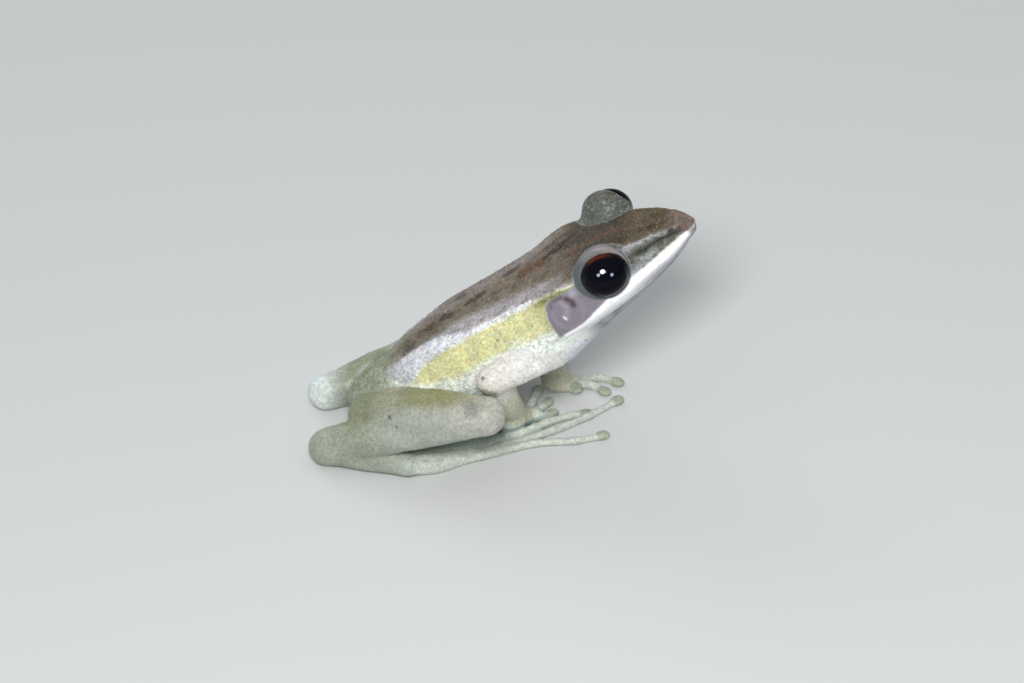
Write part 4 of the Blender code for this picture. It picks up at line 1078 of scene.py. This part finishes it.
def grains(points, normals, masks, count):
    """Small domes on the skin, with the masks of the places that they stand on."""
    random = np.random.default_rng(7)
    weight = masks["granular"] * (0.15 + masks["sparkle"]) * (points[:, 2] > 1.5)
    chosen = random.choice(len(points), count, replace=False, p=weight / weight.sum())
    work = bmesh.new()
    bmesh.ops.create_icosphere(work, subdivisions=2, radius=1.0)
    shape = np.array([v.co[:] for v in work.verts])
    faces = np.array([[v.index for v in f.verts] for f in work.faces])
    work.free()
    normal = normals[chosen]
    across = np.cross(normal, (0.3, 0.5, 0.81))
    across /= length(across)[:, None]
    other = np.cross(normal, across)
    size = random.uniform(*GRAIN_SIZES, count)[:, None, None]
    domes = (shape[None, :, :1] * across[:, None] + shape[None, :, 1:2] * other[:, None]
             + (0.75 * shape[None, :, 2:] - 0.15) * normal[:, None])
    domes = (points[chosen][:, None] + size * domes).reshape(-1, 3)
    offsets = np.arange(count)[:, None, None] * len(shape)
    host = np.repeat(chosen, len(shape))
    values = {name: mask[host] for name, mask in masks.items()}
    values["grain"] = np.repeat(random.uniform(0.2, 1.0, count), len(shape))
    return domes, (faces[None] + offsets).reshape(-1, 3), values


# Materials

class Material:
    """A procedural material, with short ways to add nodes; lengths in it are millimetres."""

    def __init__(self, name):
        self.material = bpy.data.materials.new(name)
        self.material.use_nodes = True
        self.tree = self.material.node_tree
        self.shader = self.tree.nodes["Principled BSDF"]
        place = self.tree.nodes.new("ShaderNodeTexCoord").outputs["Object"]
        self.place = self.node("ShaderNodeVectorMath", {0: place, "Scale": 1 / MM},
                               operation="SCALE").outputs[0]

    def node(self, kind, sockets, **settings):
        made = self.tree.nodes.new(kind)
        for key, value in settings.items():
            setattr(made, key, value)
        for key, value in sockets.items():
            self.set(made.inputs[key], value)
        return made

    def set(self, socket, value):
        if isinstance(value, bpy.types.NodeSocket):
            self.tree.links.new(value, socket)
        else:
            socket.default_value = value

    def math(self, operation, first, second=0.0):
        return self.node("ShaderNodeMath", {0: first, 1: second}, operation=operation).outputs[0]

    def times(self, first, second):
        return self.math("MULTIPLY", first, second)

    def plus(self, first, second):
        return self.math("ADD", first, second)

    def mask(self, name):
        return self.node("ShaderNodeAttribute", {}, attribute_name=name).outputs["Fac"]

    def noise(self, size, detail=2.0, roughness=0.5, distortion=0.0):
        made = self.node("ShaderNodeTexNoise", {"Vector": self.place, "Scale": 1 / size, "Detail": detail,
                                                "Roughness": roughness, "Distortion": distortion})
        return made.outputs["Fac"]

    def cells(self, size, output="Distance", feature="F1"):
        made = self.node("ShaderNodeTexVoronoi", {"Vector": self.place, "Scale": 1 / size}, feature=feature)
        return made.outputs[output]

    def span(self, value, low, high, start=0.0, end=1.0):
        """Map low..high to start..end, smoothly and clamped."""
        return self.node("ShaderNodeMapRange", {"Value": value, "From Min": low, "From Max": high,
                                                "To Min": start, "To Max": end},
                         interpolation_type="SMOOTHSTEP").outputs["Result"]

    def mix(self, amount, first, second):
        first, second = ((*c, 1.0) if isinstance(c, tuple) else c for c in (first, second))
        return self.node("ShaderNodeMix", {0: amount, 6: first, 7: second}, data_type="RGBA").outputs[2]

    def bump(self, height, distance):
        sockets = {"Height": height, "Distance": distance, "Strength": 1.0}
        return self.node("ShaderNodeBump", sockets).outputs[0]

    def finish(self, **sockets):
        for key, value in sockets.items():
            self.set(self.shader.inputs[key.replace("_", " ")], value)
        return self.material


def skin_material():
    """Moist frog skin: painted regions, mottling, grains with painted glints on their tips, pores and a thin
    wet film.
    """
    m = Material("skin")
    colour = VENTRAL
    for name, shade in LAYERS:
        colour = m.mix(m.mask(name), colour, shade)

    broad = m.noise(1.9, 3.0, 0.6, 0.4)
    fine = m.noise(0.34, 3.0, 0.65)
    granular = m.mask("granular")
    mottle = m.times(m.span(broad, 0.3, 0.7, 0.82, 1.18), m.span(fine, 0.28, 0.72, 0.64, 1.36))
    pattern = m.mix(granular, (1.0, 1.0, 1.0), m.node("ShaderNodeCombineColor", {
        0: mottle, 1: mottle, 2: mottle}).outputs[0])
    colour = m.node("ShaderNodeMix", {0: 1.0, 6: colour, 7: pattern}, data_type="RGBA",
                    blend_type="MULTIPLY").outputs[2]

    cell = m.cells(0.42)
    lot = m.cells(0.42, "Color")
    chosen = m.span(m.node("ShaderNodeSeparateColor", {0: lot}).outputs[0], 0.3, 0.7)
    dot = m.times(m.span(cell, 0.3, 0.12), chosen)
    dot = m.times(dot, m.mask("sparkle"))
    # Painted glints: pale dots on the grains, where the sparkle mask lets them show
    colour = m.mix(m.times(dot, 0.6), colour, (0.86, 0.87, 0.84))
    colour = m.mix(m.times(m.mask("grain"), 0.16), colour, (0.8, 0.8, 0.77))
    pore = m.times(m.span(m.cells(0.9), 0.11, 0.05), m.times(granular, 0.55))
    colour = m.mix(pore, colour, (0.05, 0.042, 0.035))

    height = m.times(m.span(m.cells(0.33, feature="SMOOTH_F1"), 0.0, 0.5, 0.042, 0.0), granular)
    height = m.plus(height, m.times(dot, 0.045))
    height = m.plus(height, m.times(m.noise(0.14, 2.0), 0.012))
    roughness = m.span(m.noise(0.8, 3.0, 0.6), 0.3, 0.7, 0.38, 0.54)
    return m.finish(
        Base_Color=colour, Roughness=roughness, Normal=m.bump(height, MM), IOR=1.4,
        Specular_IOR_Level=0.35, Subsurface_Weight=0.35, Subsurface_Radius=(1.0, 0.55, 0.4),
        Subsurface_Scale=0.0007, Coat_Weight=0.16, Coat_Roughness=0.2, Coat_IOR=1.34)


def eye_material():
    """A wet, almost black eye: a wide pupil in a dark iris that glows red-brown under the upper lid."""
    m = Material("eye")
    ahead, up, outward = (m.mask(name) for name in ("ahead", "up", "outward"))
    height = m.plus(up, m.times(ahead, 0.12))
    pupil = m.math("SQRT", m.plus(m.math("POWER", m.math("DIVIDE", ahead, 0.92), 2.0),
                                  m.math("POWER", m.math("DIVIDE", height, 0.75), 2.0)))
    glow = m.span(m.plus(up, m.times(ahead, -0.3)), 0.3, 0.8)
    flecks = m.span(m.noise(0.16, 4.0, 0.7, 1.2), 0.4, 0.75)
    lit = m.mix(flecks, (0.005, 0.0011, 0.0006), (0.026, 0.0055, 0.0024))
    iris = m.mix(glow, (0.001, 0.0007, 0.0007), lit)
    iris = m.mix(m.span(outward, 0.5, 0.36), iris, (0.0015, 0.0015, 0.002))
    colour = m.mix(m.span(pupil, 1.1, 0.96), iris, (0.0004, 0.0004, 0.0007))
    return m.finish(Base_Color=colour, Roughness=0.25, IOR=1.34, Specular_IOR_Level=0.0, Coat_Weight=1.0,
                    Coat_Roughness=0.015, Coat_IOR=1.15)


def eye_mesh(side):
    """The eyeball, with each point's place in the eye: ahead, up and outward from -1 to 1."""
    centre, ahead, upward, outward = eye_frame(side)
    axis = unit(EYE_FACING)
    level = unit(np.array((1.0, 0, 0)) - axis * axis[0])
    upright = np.cross(level, axis)
    if upright[2] < 0:
        upright = -upright
    turns = np.linspace(0, 2 * math.pi, 96, endpoint=False)
    rings = []
    for angle in np.radians(np.arange(3, 180, 3)):
        rings.append(math.cos(angle) * axis + math.sin(angle) * (
            np.cos(turns)[:, None] * level + np.sin(turns)[:, None] * upright))
    points, quads, triangles = closed_rings(rings, [axis, -axis])
    masks = {"ahead": points @ level, "up": points @ upright, "outward": points @ axis}
    a, b, c = (points * EYE_RADII).T
    world = centre + a[:, None] * ahead + b[:, None] * outward + c[:, None] * upward
    if np.sum(np.cross(world[quads[:, 1]] - world[quads[:, 0]], world[quads[:, 2]] - world[quads[:, 0]])
              * (world[quads[:, 0]] - centre)) < 0:
        quads, triangles = quads[:, ::-1], triangles[:, ::-1]
    return world, quads, triangles, masks


def make_skin():
    skin, parts = shape_skin()
    points, quads = surface_mesh(skin)
    masks = skin_masks(points, parts)
    domes, triangles, values = grains(points, vertex_normals(points, quads), masks, GRAIN_COUNT)
    masks["grain"] = np.zeros(len(points))
    masks = {name: np.concatenate((mask, values[name])) for name, mask in masks.items()}
    made = make_mesh("skin", np.vstack((points, domes)), quads, triangles + len(points), masks)
    made.data.materials.append(skin_material())
    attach(made, "root")
    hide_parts(*[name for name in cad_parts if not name.startswith("eye")])


def make_eyes():
    material = eye_material()
    for side in (RIGHT, LEFT):
        name = "eye_" + SIDE_NAMES[side]
        made = make_mesh(name + "_ball", *eye_mesh(side))
        made.data.materials.append(material)
        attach(made, "root")
        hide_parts(name)


# Camera and light

CAMERA_HEADING = math.radians(3)
CAMERA_ELEVATION = math.radians(38)
CAMERA_ROLL = math.radians(6)
IMAGE_WIDTH = 1024
PIXELS_PER_MM = 9.4
LENS = 300.0
SENSOR = 36.0
FRAME_CENTRE = (21.17, 10.05)
FROG_MIDDLE = (21.0, 0.0, 8.0)

# Lights, in metres and watts: small ones that reach only the eyes, across and above the camera's line, and
# large ones that reach the skin and the floor
STUDIO_MIDDLE = (0, 0, 0.008)
LIGHT_DISTANCE = 0.42
KEY_PLACE, KEY_SIZE, KEY_WATTS = (-0.03, 0.06), 0.12, 1.35
FLOOR_RADIUS, FLOOR_COLOUR, FLOOR_ROUGHNESS = 2.0, (0.62, 0.63, 0.62, 1), 0.85
SKY_COLOUR, SKY_STRENGTH = (0.86, 0.92, 1.0, 1), 0.24
GLINTS = (("glint", -0.10, 0.08, 0.17, 16.0, (1.0, 1.0, 1.0)),
          ("glint_left", -0.25, -0.04, 0.13, 5.2, (0.7, 0.8, 1.0)),
          ("glint_right", 0.24, -0.05, 0.13, 4.7, (0.6, 0.75, 1.0)))
ROOM_LIGHTS = (("overhead", (0.1, 0.0, 0.9), 2.0, 4.0), ("sheen", (0.1, 0.0, 0.9), 2.0, 0.6),
               ("rim", (-0.3, 0.45, 0.35), 0.4, 0.7))


def camera_axes():
    across = np.array((math.cos(CAMERA_HEADING), math.sin(CAMERA_HEADING), 0))
    away = np.array((-math.sin(CAMERA_HEADING), math.cos(CAMERA_HEADING), 0))
    vertical = np.array((0, 0, 1.0))
    up = vertical * math.cos(CAMERA_ELEVATION) + away * math.sin(CAMERA_ELEVATION)
    view = away * math.cos(CAMERA_ELEVATION) - vertical * math.sin(CAMERA_ELEVATION)
    right = across * math.cos(CAMERA_ROLL) - up * math.sin(CAMERA_ROLL)
    top = across * math.sin(CAMERA_ROLL) + up * math.cos(CAMERA_ROLL)
    return right, top, view


def make_camera():
    right, top, view = camera_axes()
    distance = IMAGE_WIDTH / PIXELS_PER_MM / SENSOR * LENS
    place = right * FRAME_CENTRE[0] + top * FRAME_CENTRE[1] + view * (np.dot(FROG_MIDDLE, view) - distance)
    data = bpy.data.cameras.new("camera")
    data.lens = LENS
    data.sensor_width = SENSOR
    data.clip_start, data.clip_end = 0.01, 20.0
    camera = add_object("camera", data)
    axes = np.stack((right, top, -view, to_metres(place)), axis=1)
    camera.matrix_world = Matrix([*axes.tolist(), [0, 0, 0, 1]])
    bpy.context.scene.camera = camera


def area_light(name, place, aim, size, watts, colour=(1, 1, 1)):
    data = bpy.data.lights.new(name, "AREA")
    data.shape = "DISK"
    data.size = size
    data.energy = watts
    data.color = colour
    light = add_object(name, data)
    turn = (Vector(aim) - Vector(place)).to_track_quat("-Z", "Y")
    light.matrix_world = Matrix.Translation(place) @ turn.to_matrix().to_4x4()
    return light


def make_floor():
    mesh = bpy.data.meshes.new("floor")
    work = bmesh.new()
    bmesh.ops.create_circle(work, cap_ends=True, segments=96, radius=FLOOR_RADIUS)
    work.to_mesh(mesh)
    work.free()
    floor = add_object("floor", mesh)
    material = bpy.data.materials.new("floor")
    material.use_nodes = True
    shader = material.node_tree.nodes["Principled BSDF"]
    shader.inputs["Base Color"].default_value = FLOOR_COLOUR
    shader.inputs["Roughness"].default_value = FLOOR_ROUGHNESS
    floor.data.materials.append(material)


def receivers(name, *lit):
    """A collection of the objects that a light reaches."""
    made = bpy.data.collections.new(name)
    for obj in lit:
        made.objects.link(bpy.data.objects[obj])
    return made


def make_studio():
    right, top, view = (Vector(axis) for axis in camera_axes())
    middle = Vector(STUDIO_MIDDLE)
    eye = Vector(to_metres(from_body(*EYE_CENTRES[RIGHT])))
    facing = middle - view * LIGHT_DISTANCE
    area_light("key", facing + right * KEY_PLACE[0] + top * KEY_PLACE[1], eye, KEY_SIZE, KEY_WATTS)
    eyes = receivers("eyes", "eye_right_ball", "eye_left_ball")
    for name, across, above, size, watts, colour in GLINTS:
        light = area_light(name, facing + right * across + top * above, eye, size, watts, colour)
        light.light_linking.receiver_collection = eyes
    skins = receivers("skins", "skin", "floor")
    for name, place, size, watts in ROOM_LIGHTS:
        light = area_light(name, place, middle, size, watts)
        light.light_linking.receiver_collection = skins
        light.visible_glossy = name != "overhead"
    world = bpy.data.worlds.new("studio")
    world.use_nodes = True
    background = world.node_tree.nodes["Background"]
    background.inputs["Color"].default_value = SKY_COLOUR
    background.inputs["Strength"].default_value = SKY_STRENGTH
    bpy.context.scene.world = world
    bpy.context.scene.view_settings.view_transform = "Standard"


make_skin()
make_eyes()
make_floor()
make_camera()
make_studio()
